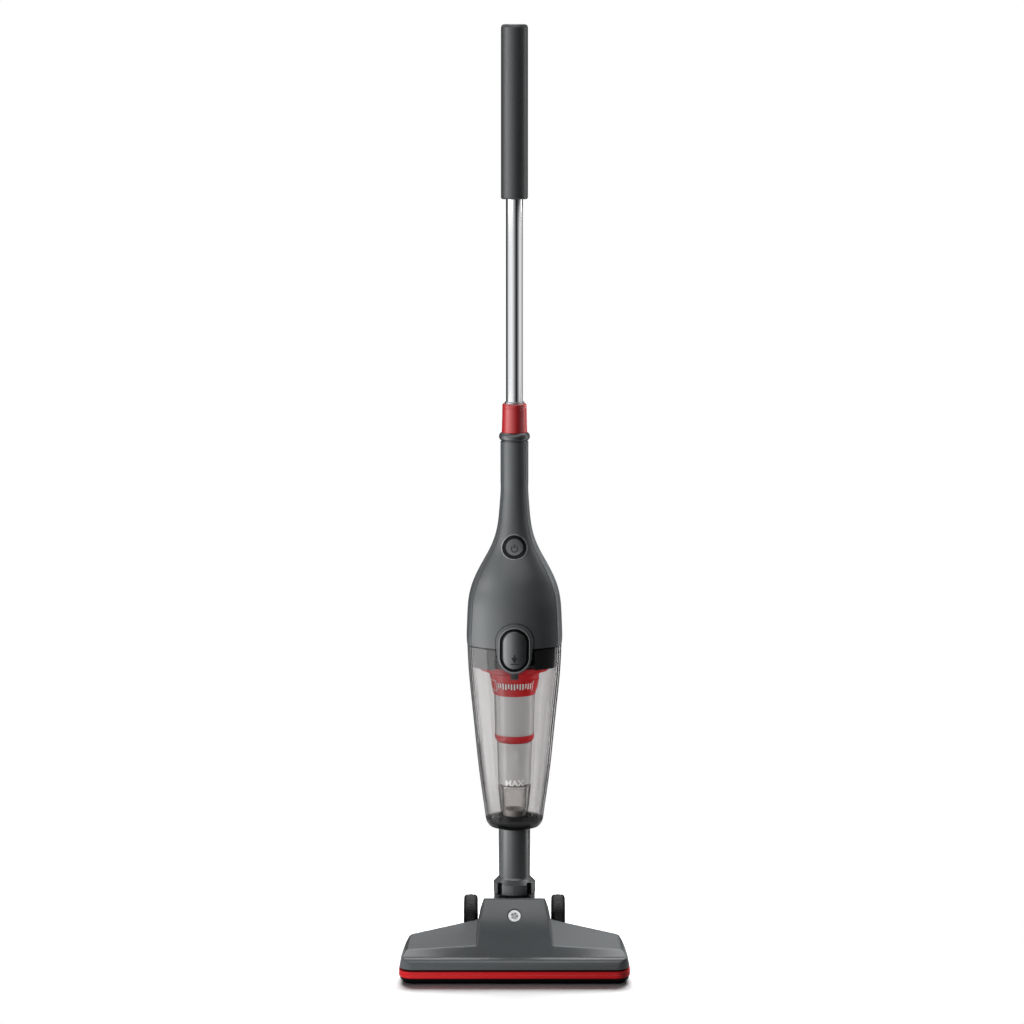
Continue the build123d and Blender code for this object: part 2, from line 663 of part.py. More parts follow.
with BuildPart() as inlet_flap:
    with BuildSketch(Plane.XY.offset(215.2)):
        Circle(15.4)
        with Locations((0, 16.0)):
            Rectangle(40, 4.0, mode=Mode.SUBTRACT)
    extrude(amount=1.4)
    # rolled edge that it swings on
    with BuildSketch(Plane.YZ.offset(-5)):
        with Locations((13.8, 216.2)):
            Circle(0.9)
    extrude(amount=10)
save(inlet_flap, "inlet_flap")

# ================================================================= filter
with BuildPart() as filter_cone:
    with BuildSketch(Plane.XZ):
        with BuildLine():
            Polyline(
                (17.3, CONE_BOTTOM), (18.7, CONE_BOTTOM), (20.4, RING_BOTTOM - 0.1), (18.9, RING_BOTTOM - 0.1), close=True,
            )
        make_face()
    revolve(axis=Axis.Z, revolution_arc=360)
    # arched openings at the back, where the dust leaves the cone
    with BuildSketch(Plane.XY.offset(CONE_BOTTOM + 6)):
        with PolarLocations(18.5, 3, start_angle=40, angular_range=150):
            Rectangle(8, 8)
    extrude(amount=26, mode=Mode.SUBTRACT)
save(filter_cone, "filter_cone")

with BuildPart() as filter_ring:
    with BuildSketch(Plane.XZ):
        with BuildLine():
            Polyline((18.2, RING_BOTTOM), (20.0, RING_BOTTOM))
            ThreePointArc((20.0, RING_BOTTOM), (22.3, 272.4), (23.0, 276.8))
            Polyline((23.0, 276.8), (23.0, RING_TOP), (18.2, RING_TOP), (18.2, RING_BOTTOM))
        make_face()
    revolve(axis=Axis.Z, revolution_arc=360)
save(filter_ring, "filter_ring")

with BuildPart() as filter_sleeve:
    with BuildSketch(Plane.XZ):
        with BuildLine():
            Polyline(
                (0, RING_TOP), (22.5, RING_TOP), (23.7, TUB_BOTTOM), (23.7, 329.0), (22.2, 329.0), (21.0, 280.2),
                (0, 280.2), close=True,
            )
        make_face()
    revolve(axis=Axis.Z, revolution_arc=360)
save(filter_sleeve, "filter_sleeve")

PLEATS = 22
with BuildPart() as filter_core:
    star = []
    for i in range(2 * PLEATS):
        radius, angle = (19.6 if i % 2 else 15.2), pi * i / PLEATS
        star.append((radius * cos(angle), radius * sin(angle)))
    with BuildSketch(Plane.XY.offset(280.2)):
        with BuildLine():
            Polyline(*star, close=True)
        make_face()
        Circle(13.4, mode=Mode.SUBTRACT)
    extrude(amount=66)
save(filter_core, "filter_core")


def tub_radius(z, grow=0.0):
    """Outer radius of the red tub at a height."""
    return 24.4 + 0.19 * (z - TUB_BOTTOM) + grow


with BuildPart() as filter_cap:
    with BuildSketch(Plane.XZ):
        with BuildLine():
            Polyline(
                (23.8, TUB_BOTTOM + 2), (23.8, TUB_BOTTOM + 1.2), (tub_radius(325), TUB_BOTTOM + 1.2),
                (tub_radius(327), 327), (tub_radius(352), 352), (33.0, FLANGE_Z), (33.0, 360.8),
                (tub_radius(354, -1.8), 360.8), (tub_radius(330, -1.8), 331), (23.8, 329), close=True,
            )
        make_face()
    revolve(axis=Axis.Z, revolution_arc=360)
    # broad flange that closes the mouth of the filter
    with BuildSketch(Plane.XY.offset(FLANGE_Z)):
        Ellipse(39.7, 36.6)
        Circle(tub_radius(356, -1.8), mode=Mode.SUBTRACT)
    extrude(amount=360.8 - FLANGE_Z)
    # raised frame on the front of the tub
    with BuildSketch(Plane.XZ.rotated((0, 0, -62))):
        with BuildLine():
            Polyline(
                (tub_radius(332, -0.6), 332), (tub_radius(332, 0.8), 332), (tub_radius(345, 0.8), 345),
                (tub_radius(345, -0.6), 345), close=True,
            )
        make_face()
    revolve(axis=Axis.Z, revolution_arc=124)
save(filter_cap, "filter_cap")

with BuildPart() as filter_seal:
    with BuildSketch(Plane.XY.offset(360.8)):
        Ellipse(37.6, 34.8)
        Ellipse(33.6, 31.0, mode=Mode.SUBTRACT)
    extrude(amount=2.2)
save(filter_seal, "filter_seal")

# ================================================================= motor housing
HOUSING_FOOT = SEAM_Z + SEAM_GAP / 2


def housing_solid(grow=0.0):
    """The whole housing as one solid: body and shoulders, with the round hand grip on top."""
    solid = body_of(HOUSING, grow, bottom=HOUSING_FOOT)
    grip = extrude(outline(HOUSING[0][0], NECK_HALF, grow), amount=NECK_END - HOUSING[0][0], mode=Mode.PRIVATE)
    return solid + grip


def front_zone(shift=0.0, back=None):
    """Everything in front of the parting surface, or a thin band behind it when back is given."""
    edge = [(panel_edge(half)[1] + shift, z) for z, half in HOUSING]
    edge = [(edge[0][0], 660.0)] + edge + [(edge[-1][0], 340.0)]
    if back is None:
        far = [(-90.0, 340.0), (-90.0, 660.0)]
    else:
        far = [(y - back, z) for y, z in reversed(edge)]
    return extrude(polygon(Plane.YZ, *edge, *far), amount=80, both=True, mode=Mode.PRIVATE)


HOUSING_SCREWS = [(0.0, 568.0), (0.0, 534.0), (38.0, 446.0), (-38.0, 446.0), (44.4, 397.0), (-44.4, 397.0)]
GLAND_Z = 551.0
power_normal = Vector(0, -cos(radians(POWER_TILT)), sin(radians(POWER_TILT)))
POWER_Y = -front_depth(half_at(HOUSING, POWER_Z))
power_plane = Plane(origin=(0, POWER_Y, POWER_Z), x_dir=(1, 0, 0), z_dir=power_normal)

outer_skin = housing_solid()
inner_space = housing_solid(-SKIN)

with BuildPart() as ribs_and_bosses:
    # ledge round the top of the motor, and screw pillars from front to back
    with BuildSketch(Plane.XY.offset(458)):
        Circle(60)
        Circle(14.2, mode=Mode.SUBTRACT)
        with Locations((20, -6), (-20, -6)):
            Circle(2.2, mode=Mode.SUBTRACT)
    extrude(amount=3)
    with BuildSketch(Plane.XZ.offset(70)):
        with Locations(*HOUSING_SCREWS):
            Circle(3.6)
    extrude(amount=-140)
    add(inner_space, mode=Mode.INTERSECT)
    with BuildSketch(Plane.XZ.offset(100)):
        with Locations(*HOUSING_SCREWS):
            Circle(1.4)
    extrude(amount=-200, mode=Mode.SUBTRACT)

with BuildPart() as housing:
    add(outer_skin)
    add(inner_space, mode=Mode.SUBTRACT)
    # open at the bottom for the spigot and at the top for the socket
    extrude(outline(HOUSING_FOOT - 1, BODY_HALF, -SKIN), amount=4, mode=Mode.SUBTRACT)
    extrude(outline(NECK_END - 4, NECK_HALF, -SKIN), amount=6, mode=Mode.SUBTRACT)
    add(ribs_and_bosses.part)


def screw_places():
    """Where each housing screw's head rests: (x, y, z)."""
    places = []
    for x, z in HOUSING_SCREWS:
        half = half_at(HOUSING, z)
        surface = back_depth(half) * (1 - (x / (half + 1.0)) ** 2) ** 0.5
        places.append((x, surface - 5.5, z))
    return places


with BuildPart() as counterbores:
    for x, y, z in screw_places():
        with BuildSketch(Plane.XZ.offset(-y)):
            with Locations((x, z)):
                Circle(3.4)
        extrude(amount=-30)
        with BuildSketch(Plane.XZ.offset(-y)):
            with Locations((x, z)):
                Circle(1.4)
        extrude(amount=12)

with BuildPart() as front_cover:
    add(housing.part & front_zone())
    # fine groove along the parting line
    rind = outer_skin - housing_solid(-1.2)
    add(front_zone(0.0, 0.7) & rind, mode=Mode.SUBTRACT)
    extrude(disc(power_plane, 13.95), amount=20, both=True, mode=Mode.SUBTRACT)
    # the surround sits tight behind a fine groove
    extrude(surround_outline(0.1), amount=-40, mode=Mode.SUBTRACT)
    add(extrude(surround_outline(0.6), amount=-40, mode=Mode.PRIVATE) & rind, mode=Mode.SUBTRACT)
save(front_cover, "front_cover")

VENTS = 8
with BuildPart() as rear_shell:
    add(housing.part - front_zone())
    add(counterbores.part, mode=Mode.SUBTRACT)
    # exhaust vents
    with BuildSketch(Plane.XZ.offset(-30)):
        for i in range(VENTS):
            with Locations((0, 399.5 + 5.4 * i)):
                SlotOverall(46 - 1.6 * max(0, i - 4), 2.8)
    extrude(amount=-40, mode=Mode.SUBTRACT)
    # hole for the cord gland
    with BuildSketch(Plane.XZ):
        with Locations((0, GLAND_Z)):
            Circle(4.6)
    extrude(amount=-30, mode=Mode.SUBTRACT)
save(rear_shell, "rear_shell")

with BuildPart() as housing_screws:
    for x, y, z in screw_places():
        with BuildSketch(Plane.XZ.offset(-y)):
            with Locations((x, z)):
                Circle(3.1)
        extrude(amount=-2.2)
        with BuildSketch(Plane.XZ.offset(-y)):
            with Locations((x, z)):
                Circle(1.4)
        extrude(amount=y + front_depth(half_at(HOUSING, z)) - SKIN - 1.6 if z > 500 else 40)
save(housing_screws, "housing_screws")

# spigot that carries the filter and plugs into the bin's mouth
SPIGOT = [(392.4, 55.0), (SEAM_Z, 55.0), (351.0, 53.2)]
with BuildPart() as intake_frame:
    add(body_of(SPIGOT, -SKIN - 0.2, bottom=SPIGOT_FOOT, ruled=True))
    add(body_of(SPIGOT, -SKIN - 2.6, bottom=SPIGOT_FOOT - 1, top=400.0, ruled=True), mode=Mode.SUBTRACT)
    # deck over the filter with a round opening
    extrude(outline(363.0, 54.0, -SKIN - 0.4), amount=3)
    with BuildSketch(Plane.XY.offset(360)):
        Circle(27.0)
    extrude(amount=10, mode=Mode.SUBTRACT)
    # pocket for the release button and its latch
    with BuildSketch(Plane.XY.offset(350)):
        with Locations((0, -60)):
            Rectangle(45.6, 46.8)
    extrude(amount=60, mode=Mode.SUBTRACT)
save(intake_frame, "intake_frame")

with BuildPart() as intake_grille:
    with BuildSketch(Plane.XY.offset(363.2)):
        Circle(26.9)
        Circle(23.5, mode=Mode.SUBTRACT)
        Circle(15.0)
        Circle(12.6, mode=Mode.SUBTRACT)
        with PolarLocations(0, 4):
            Rectangle(53, 1.6)
        Circle(5.0)
    extrude(amount=2.4)
save(intake_grille, "intake_grille")

# ----------------------------------------------------------------- release button
WELL_BACK = -38.6
with BuildPart() as release_bezel:
    extrude(surround_outline(), amount=-30)
    add(front_slab(1.1, -43.6), mode=Mode.INTERSECT)
    extrude(button_outline(33.6, 50.4), amount=-30, mode=Mode.SUBTRACT)
    # room for the latch arm behind the foot
    with BuildSketch(Plane.XY.offset(350)):
        with Locations((0, -41.9)):
            Rectangle(10.6, 10.0)
    extrude(amount=20, mode=Mode.SUBTRACT)
save(release_bezel, "release_bezel")

with BuildPart() as release_well:
    extrude(button_outline(33.5, 50.3), amount=-60)
    add(front_slab(-0.6, WELL_BACK), mode=Mode.INTERSECT)
    extrude(button_outline(28.2, 44.8), amount=-60, mode=Mode.SUBTRACT)
    with BuildSketch(Plane.XZ.offset(-WELL_BACK)):
        with Locations((0, RELEASE_Z)):
            SlotOverall(46, 29.4, rotation=90)
    extrude(amount=-1.8)
    # slot in the foot for the latch arm
    with BuildSketch(Plane.XY.offset(350)):
        with Locations((0, -41.4)):
            Rectangle(10.6, 9.0)
    extrude(amount=23, mode=Mode.SUBTRACT)
save(release_well, "release_well")

with BuildPart() as release_button:
    extrude(button_outline(27.4, 44.0), amount=-60)
    add(front_slab(1.9, -44.0), mode=Mode.INTERSECT)
    fillet(release_button.faces().sort_by(Axis.Y)[0].edges(), radius=1.2)
    # hollow back
    with BuildSketch(Plane.XZ.offset(44.0)):
        with Locations((0, RELEASE_Z + 4)):
            SlotOverall(30, 21, rotation=90)
    extrude(amount=4.6, mode=Mode.SUBTRACT)
    # latch arm with its hook under the bin's ledge
    with BuildSketch(Plane.YZ.offset(-4.4)):
        with BuildLine():
            Polyline(
                (-44.2, 372), (-40.0, 372), (-40.0, 350.0), (-41.6, 350.0), (-43.1, 351.4), (-43.1, 352.8),
                (-41.6, 352.8), (-41.6, 366.4), (-44.2, 367.2), close=True,
            )
        make_face()
    extrude(amount=8.8)
save(release_button, "release_button")


def coil_spring(base, radius, wire, pitch, height):
    """A coil spring standing on a plane."""
    path = base * Helix(pitch=pitch, height=height, radius=radius, mode=Mode.PRIVATE)
    start = Plane(origin=path @ 0, z_dir=path % 0)
    return sweep(disc(start, wire), path=path, mode=Mode.PRIVATE)


with BuildPart() as release_spring:
    add(coil_spring(Plane(origin=(0, -42.1, RELEASE_Z + 4), z_dir=(0, -1, 0)), 4.0, 0.4, 1.7, 6.0))
save(release_spring, "release_spring")

# ----------------------------------------------------------------- power button
with BuildPart() as power_bezel:
    extrude(disc(power_plane, 13.85, 10.0), amount=10, both=True)
    add(housing_solid(-0.5), mode=Mode.INTERSECT)
save(power_bezel, "power_bezel")

with BuildPart() as power_button:
    extrude(disc(power_plane.offset(-7), 9.8), amount=16)
    add(housing_solid(0.9), mode=Mode.INTERSECT)
    extrude(disc(power_plane.offset(-7), 7.8), amount=4.4, mode=Mode.SUBTRACT)
    extrude(disc(power_plane.offset(-9), 2.2), amount=7)
save(power_button, "power_button")

with BuildPart() as power_spring:
    add(coil_spring(Plane(origin=power_plane.offset(-9.0).origin, z_dir=power_normal), 4.4, 0.4, 1.7, 5.8))
save(power_spring, "power_spring")

with BuildPart() as switch_block:
    with BuildSketch(power_plane.offset(-12.4)):
        Rectangle(13, 17)
    extrude(amount=-12)
    fillet(switch_block.edges().filter_by(GeomType.LINE).group_by(SortBy.LENGTH)[0], radius=1.0)
    with BuildSketch(power_plane.offset(-12.4)):
        Circle(3.0)
    extrude(amount=0.6)
save(switch_block, "switch_block")

# ----------------------------------------------------------------- motor and fan
with BuildPart() as fan_shroud:
    with BuildSketch(Plane.XZ):
        with BuildLine():
            Polyline((13, 384), (36, 384), (36, 402), (34.4, 402), (34.4, 385.8), (14.6, 385.8), (13, 387), close=True)
        make_face()
    revolve(axis=Axis.Z, revolution_arc=360)
save(fan_shroud, "fan_shroud")

with BuildPart() as lower_mount:
    with BuildSketch(Plane.XZ):
        with BuildLine():
            Polyline((31, 366), (35.8, 366), (35.8, 368.4), (34, 370), (34, 380), (35.8, 381.6), (35.8, 384), (31, 384), close=True)
        make_face()
    revolve(axis=Axis.Z, revolution_arc=360)
save(lower_mount, "lower_mount")

with BuildPart() as motor_can:
    with BuildSketch(Plane.XZ):
        with BuildLine():
            Polyline(
                (8.0, 404.0), (8.0, 402.0), (35.6, 402.0), (35.6, 404.0), (30.0, 404.0), (30.0, 449.0), (27.5, 452.0),
                (9.6, 452.0), (9.6, 459.6), (5.0, 459.6), (5.0, 458.2), (8.0, 458.2), (8.0, 450.4), (26.8, 450.4),
                (28.4, 448.4), (28.4, 404.0), close=True,
            )
        make_face()
    revolve(axis=Axis.Z, revolution_arc=360)
    # bearing cup in the base, vanes between the outlets, windows for the brushes and cooling air
    with BuildSketch(Plane.XZ):
        with BuildLine():
            Polyline((8.0, 404), (10.0, 404), (10.0, 410), (8.0, 410), close=True)
        make_face()
    revolve(axis=Axis.Z, revolution_arc=360)
    with BuildSketch(Plane.XY.offset(401)):
        with PolarLocations(32.2, 8):
            SlotOverall(14, 3.6, rotation=90)
        with PolarLocations(19.5, 6):
            SlotOverall(12, 5.0, rotation=90)
    extrude(amount=4, mode=Mode.SUBTRACT)
    with BuildSketch(Plane.XZ.offset(-60)):
        with Locations((0, 447)):
            SlotOverall(10, 5)
    extrude(amount=120, mode=Mode.SUBTRACT)
    with BuildSketch(Plane.YZ.offset(-60)):
        with Locations((0, 446.6)):
            Rectangle(7.2, 5.2)
    extrude(amount=120, mode=Mode.SUBTRACT)
save(motor_can, "motor_can")

with BuildPart() as stator:
    with BuildSketch(Plane.XY.offset(412)):
        Circle(28.4)
        Circle(17.4, mode=Mode.SUBTRACT)
        with Locations((0, 21), (0, -21)):
            Rectangle(26, 6.4, mode=Mode.SUBTRACT)
        for angle in (45, 135, 225, 315):
            with PolarLocations(0, 1, start_angle=angle):
                with Locations((28.6, 0)):
                    Circle(2.6, mode=Mode.SUBTRACT)
    extrude(amount=30)
save(stator, "stator")

with BuildPart() as bearings:
    for z in (404.2, 453.2):
        with BuildSketch(Plane.XY.offset(z)):
            Circle(8.0)
            Circle(2.6, mode=Mode.SUBTRACT)
        extrude(amount=5)
    chamfer(bearings.edges().filter_by(GeomType.CIRCLE).filter_by(lambda e: e.radius > 7), length=0.5)
save(bearings, "bearings")

with BuildPart() as carbon_brushes:
    with BuildSketch(Plane.YZ.offset(8.4)):
        with Locations((0, 446.6)):
            Rectangle(5.0, 4.0)
    extrude(amount=12)
    with BuildSketch(Plane.YZ.offset(20.4)):
        with Locations((0, 446.6)):
            Rectangle(7.0, 5.0)
    extrude(amount=11)
    mirror(about=Plane.YZ)
save(carbon_brushes, "carbon_brushes")

with BuildPart() as upper_mount:
    with BuildSketch(Plane.XZ):
        with BuildLine():
            Polyline((9.6, 452.2), (18, 452.2), (18, 458), (14.2, 458), (14.2, 461), (17, 461), (15, 464), (9.6, 464), close=True)
        make_face()
    revolve(axis=Axis.Z, revolution_arc=360)
save(upper_mount, "upper_mount")

with BuildPart() as rotor_shaft:
    with BuildSketch(Plane.XY.offset(387.4)):
        Circle(2.5)
    extrude(amount=71.6)
    with BuildSketch(Plane.XY.offset(414)):
        Circle(16.6)
        with PolarLocations(15.4, 12):
            Rectangle(4.0, 1.8, mode=Mode.SUBTRACT)
    extrude(amount=26)
    with BuildSketch(Plane.XY.offset(443.2)):
        Circle(8.2)
        with PolarLocations(8.2, 12):
            Rectangle(1.4, 0.6, mode=Mode.SUBTRACT)
    extrude(amount=6.6)
save(rotor_shaft, "rotor_shaft")

BLADES = 9
with BuildPart() as impeller:
    with BuildSketch(Plane.XY.offset(398.2)):
        Circle(32.0)
    extrude(amount=1.2)
    with BuildSketch(Plane.XY.offset(388.4)):
        Circle(32.0)
        Circle(13.4, mode=Mode.SUBTRACT)
    extrude(amount=1.2)
    with BuildSketch(Plane.XY.offset(389.6)):
        with PolarLocations(0, BLADES):
            with BuildLine():
                ThreePointArc((11, 0), (20.5, 6.2), (31.4, 4.0))
                Line((31.4, 4.0), (31.5, 2.9))
                ThreePointArc((31.5, 2.9), (20.7, 4.9), (11.6, -0.6))
                Line((11.6, -0.6), (11, 0))
            make_face()
    extrude(amount=8.6)
    with BuildSketch(Plane.XZ):
        with BuildLine():
            Polyline((2.5, 388.4), (5, 388.4), (7.5, 394), (13, 398.2), (13, 399), (2.5, 399), close=True)
        make_face()
    revolve(axis=Axis.Z, revolution_arc=360)
    extrude(disc(Plane.XY.offset(380), 2.5), amount=30, mode=Mode.SUBTRACT)
save(impeller, "impeller")

with BuildPart() as exhaust_foam:
    foam_stations = [(446.0, 52.4), (434.0, 54.4), (415.0, BODY_HALF), (396.0, BODY_HALF)]
    add(body_of(foam_stations, -SKIN - 0.3))
    add(body_of(foam_stations, -SKIN - 5.3, bottom=395.0, top=447.0), mode=Mode.SUBTRACT)
    with BuildSketch(Plane.XY.offset(390)):
        with Locations((0, 50)):
            Rectangle(56, 60)
    extrude(amount=60, mode=Mode.INTERSECT)
save(exhaust_foam, "exhaust_foam")

with BuildPart() as lead_wires:
    with BuildLine() as wire_path:
        FilletPolyline(
            (4, -2.7, 493.3), (4, 2.6, 491.2), (6, 3.0, 480), (14, -3, 470), (20, -6, 463.5), (20, -6, 452.1),
            radius=[2.4, 5, 5, 3],
        )
    with BuildSketch(Plane(origin=wire_path.line @ 0, z_dir=wire_path.line % 0)):
        Circle(1.3)
    sweep()
    mirror(about=Plane.YZ)
save(lead_wires, "lead_wires")

with BuildPart() as cord_gland:
    with BuildSketch(Plane.XY.offset(GLAND_Z)):
        with BuildLine():
            Polyline(
                (2.6, 11.0), (6.6, 11.0), (6.6, 13.0), (4.5, 13.4), (4.5, 17.2), (6.2, 17.4), (6.2, 19.4), (4.9, 20.4),
                (4.3, 30.0), (2.6, 30.0), close=True,
            )
        make_face()
    revolve(axis=Axis((0, 0, GLAND_Z), (0, 1, 0)), revolution_arc=360)
    add(rear_shell.part, mode=Mode.SUBTRACT)
save(cord_gland, "cord_gland")

# ================================================================= pole
with BuildPart() as pole_socket:
    with BuildSketch(Plane.XZ):
        with BuildLine():
            Polyline(
                (0, 584), (13.4, 584), (13.4, NECK_END), (14.6, NECK_END), (14.6, NECK_END + 1.3),
                (15.8, NECK_END + 1.5),
            )
            ThreePointArc((15.8, NECK_END + 1.5), (17.9, 628.6), (15.6, BEAD_TOP))
            Polyline((15.6, BEAD_TOP), (SOCKET_R + RUN_FIT, BEAD_TOP), (SOCKET_R + RUN_FIT, 586), (0, 586), (0, 584))
        make_face()
    revolve(axis=Axis.Z, revolution_arc=360)
save(pole_socket, "pole_socket")

with BuildPart() as pole_collar:
    with BuildSketch(Plane.XZ):
        with BuildLine():
            Polyline(
                (TUBE_R, 600), (TUBE_R - 1.2, 600), (TUBE_R - 1.2, 588), (SOCKET_R - 1, 588), (SOCKET_R, 589),
                (SOCKET_R, BEAD_TOP + 0.3), (14.4, BEAD_TOP + 0.3), (14.7, BEAD_TOP + 0.8), (14.5, 640),
                (14.2, 652), (14.1, 660.8), (13.8, 661.1), (13.8, 661.6), (14.1, 661.9), (14.0, COLLAR_TOP - 2.6),
            )
            ThreePointArc((14.0, COLLAR_TOP - 2.6), (13.3, COLLAR_TOP - 0.7), (11.7, COLLAR_TOP))
            Polyline((11.7, COLLAR_TOP), (TUBE_R, COLLAR_TOP), (TUBE_R, 600))
        make_face()
    revolve(axis=Axis.Z, revolution_arc=360)
save(pole_collar, "pole_collar")

with BuildPart() as pole_ring:
    with BuildSketch(Plane.XZ):
        with BuildLine():
            Polyline((TUBE_R, COLLAR_TOP), (11.5, COLLAR_TOP), (11.5, 668.2), (10.8, 669.0), (TUBE_R, 669.0), close=True)
        make_face()
    revolve(axis=Axis.Z, revolution_arc=360)
save(pole_ring, "pole_ring")

with BuildPart() as chrome_tube:
    with BuildSketch(Plane.XY.offset(600)):
        Circle(TUBE_R)
        Circle(TUBE_R - 1.2, mode=Mode.SUBTRACT)
    extrude(amount=490)
save(chrome_tube, "chrome_tube")

with BuildPart() as grip:
    with BuildSketch(Plane.XZ):
        with BuildLine():
            Polyline(
                (0, HEIGHT), (GRIP_R - 3.6, HEIGHT), (GRIP_R - 1.0, HEIGHT - 1.1), (GRIP_R - 0.1, HEIGHT - 3.6),
                (GRIP_R, GRIP_BOTTOM + 1.2), (GRIP_R - 1.2, GRIP_BOTTOM), (TUBE_R, GRIP_BOTTOM), (TUBE_R, 1090),
                (0, 1090), close=True,
            )
        make_face()
    revolve(axis=Axis.Z, revolution_arc=360)
save(grip, "grip")
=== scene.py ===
# %% [markdown]
# # An upright stick vacuum cleaner
# The solids of the machine come from its CAD model, packed as a frame of rigid bodies. This lesson
# dresses them: every surface gets a finish made from nodes, small parts that are too fine for CAD
# are modelled on top, and a plain studio lights the result. Everything is in metres, +Z is up and
# the front of the machine looks along -Y.

# %% Load the machine
import json
import math

import bmesh
import bpy
from mathutils import Matrix, Vector

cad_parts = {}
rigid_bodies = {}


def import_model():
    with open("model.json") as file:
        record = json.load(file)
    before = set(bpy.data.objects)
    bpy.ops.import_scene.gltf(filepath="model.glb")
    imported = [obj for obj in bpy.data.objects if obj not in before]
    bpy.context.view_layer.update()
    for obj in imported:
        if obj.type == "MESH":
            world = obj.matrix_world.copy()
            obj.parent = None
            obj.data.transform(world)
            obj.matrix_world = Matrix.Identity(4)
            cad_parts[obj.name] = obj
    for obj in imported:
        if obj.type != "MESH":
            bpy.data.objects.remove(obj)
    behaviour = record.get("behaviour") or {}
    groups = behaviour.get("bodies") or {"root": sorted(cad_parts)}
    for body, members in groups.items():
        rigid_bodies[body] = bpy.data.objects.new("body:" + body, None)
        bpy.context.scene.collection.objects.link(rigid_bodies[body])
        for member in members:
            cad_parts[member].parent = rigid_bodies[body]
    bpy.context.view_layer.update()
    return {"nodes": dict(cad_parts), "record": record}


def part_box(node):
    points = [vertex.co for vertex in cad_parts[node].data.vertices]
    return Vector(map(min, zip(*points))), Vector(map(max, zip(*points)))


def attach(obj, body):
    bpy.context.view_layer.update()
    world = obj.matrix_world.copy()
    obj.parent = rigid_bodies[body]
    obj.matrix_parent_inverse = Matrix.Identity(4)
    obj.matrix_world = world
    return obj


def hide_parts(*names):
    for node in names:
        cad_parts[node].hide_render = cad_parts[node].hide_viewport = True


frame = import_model()
nodes = frame["nodes"]
MM = 0.001

# %% [markdown]
# ## Writing shader maths as Python
# A node tree is easier to read as a formula. `Wire` wraps one output socket, so that
# `1 - mask * 0.3` adds its own Math nodes. `Finish` holds one material: its `node` method makes any
# node, sets it up and returns its output as a `Wire`, and `done` files the finished material by its
# name in `looks`, where the pieces find it.


# %% A wire that can be used in sums
class Wire:
    """One output socket of a node tree."""

    def __init__(self, finish, socket):
        self.finish, self.socket = finish, socket

    def maths(self, operation, *values):
        settings, sockets = {"operation": operation}, dict(enumerate(values))
        return self.finish.node("ShaderNodeMath", settings, sockets)

    def __add__(self, other):
        return self.maths("ADD", self, other)

    def __radd__(self, other):
        return self.maths("ADD", other, self)

    def __sub__(self, other):
        return self.maths("SUBTRACT", self, other)

    def __rsub__(self, other):
        return self.maths("SUBTRACT", other, self)

    def __mul__(self, other):
        return self.maths("MULTIPLY", self, other)

    def __rmul__(self, other):
        return self.maths("MULTIPLY", other, self)

    def __truediv__(self, other):
        return self.maths("DIVIDE", self, other)

    def __pow__(self, other):
        return self.maths("POWER", self, other)

    def __gt__(self, other):
        return self.maths("GREATER_THAN", self, other)

    def __lt__(self, other):
        return self.maths("LESS_THAN", self, other)

    def sine(self):
        return self.maths("SINE", self)

    def angle(self, other):
        """The angle whose tangent is this over the other, in radians."""
        return self.maths("ARCTAN2", self, other)

    def clamped(self):
        return self.finish.node("ShaderNodeClamp", {}, {"Value": self})


# %% A finish made of nodes
looks = {}


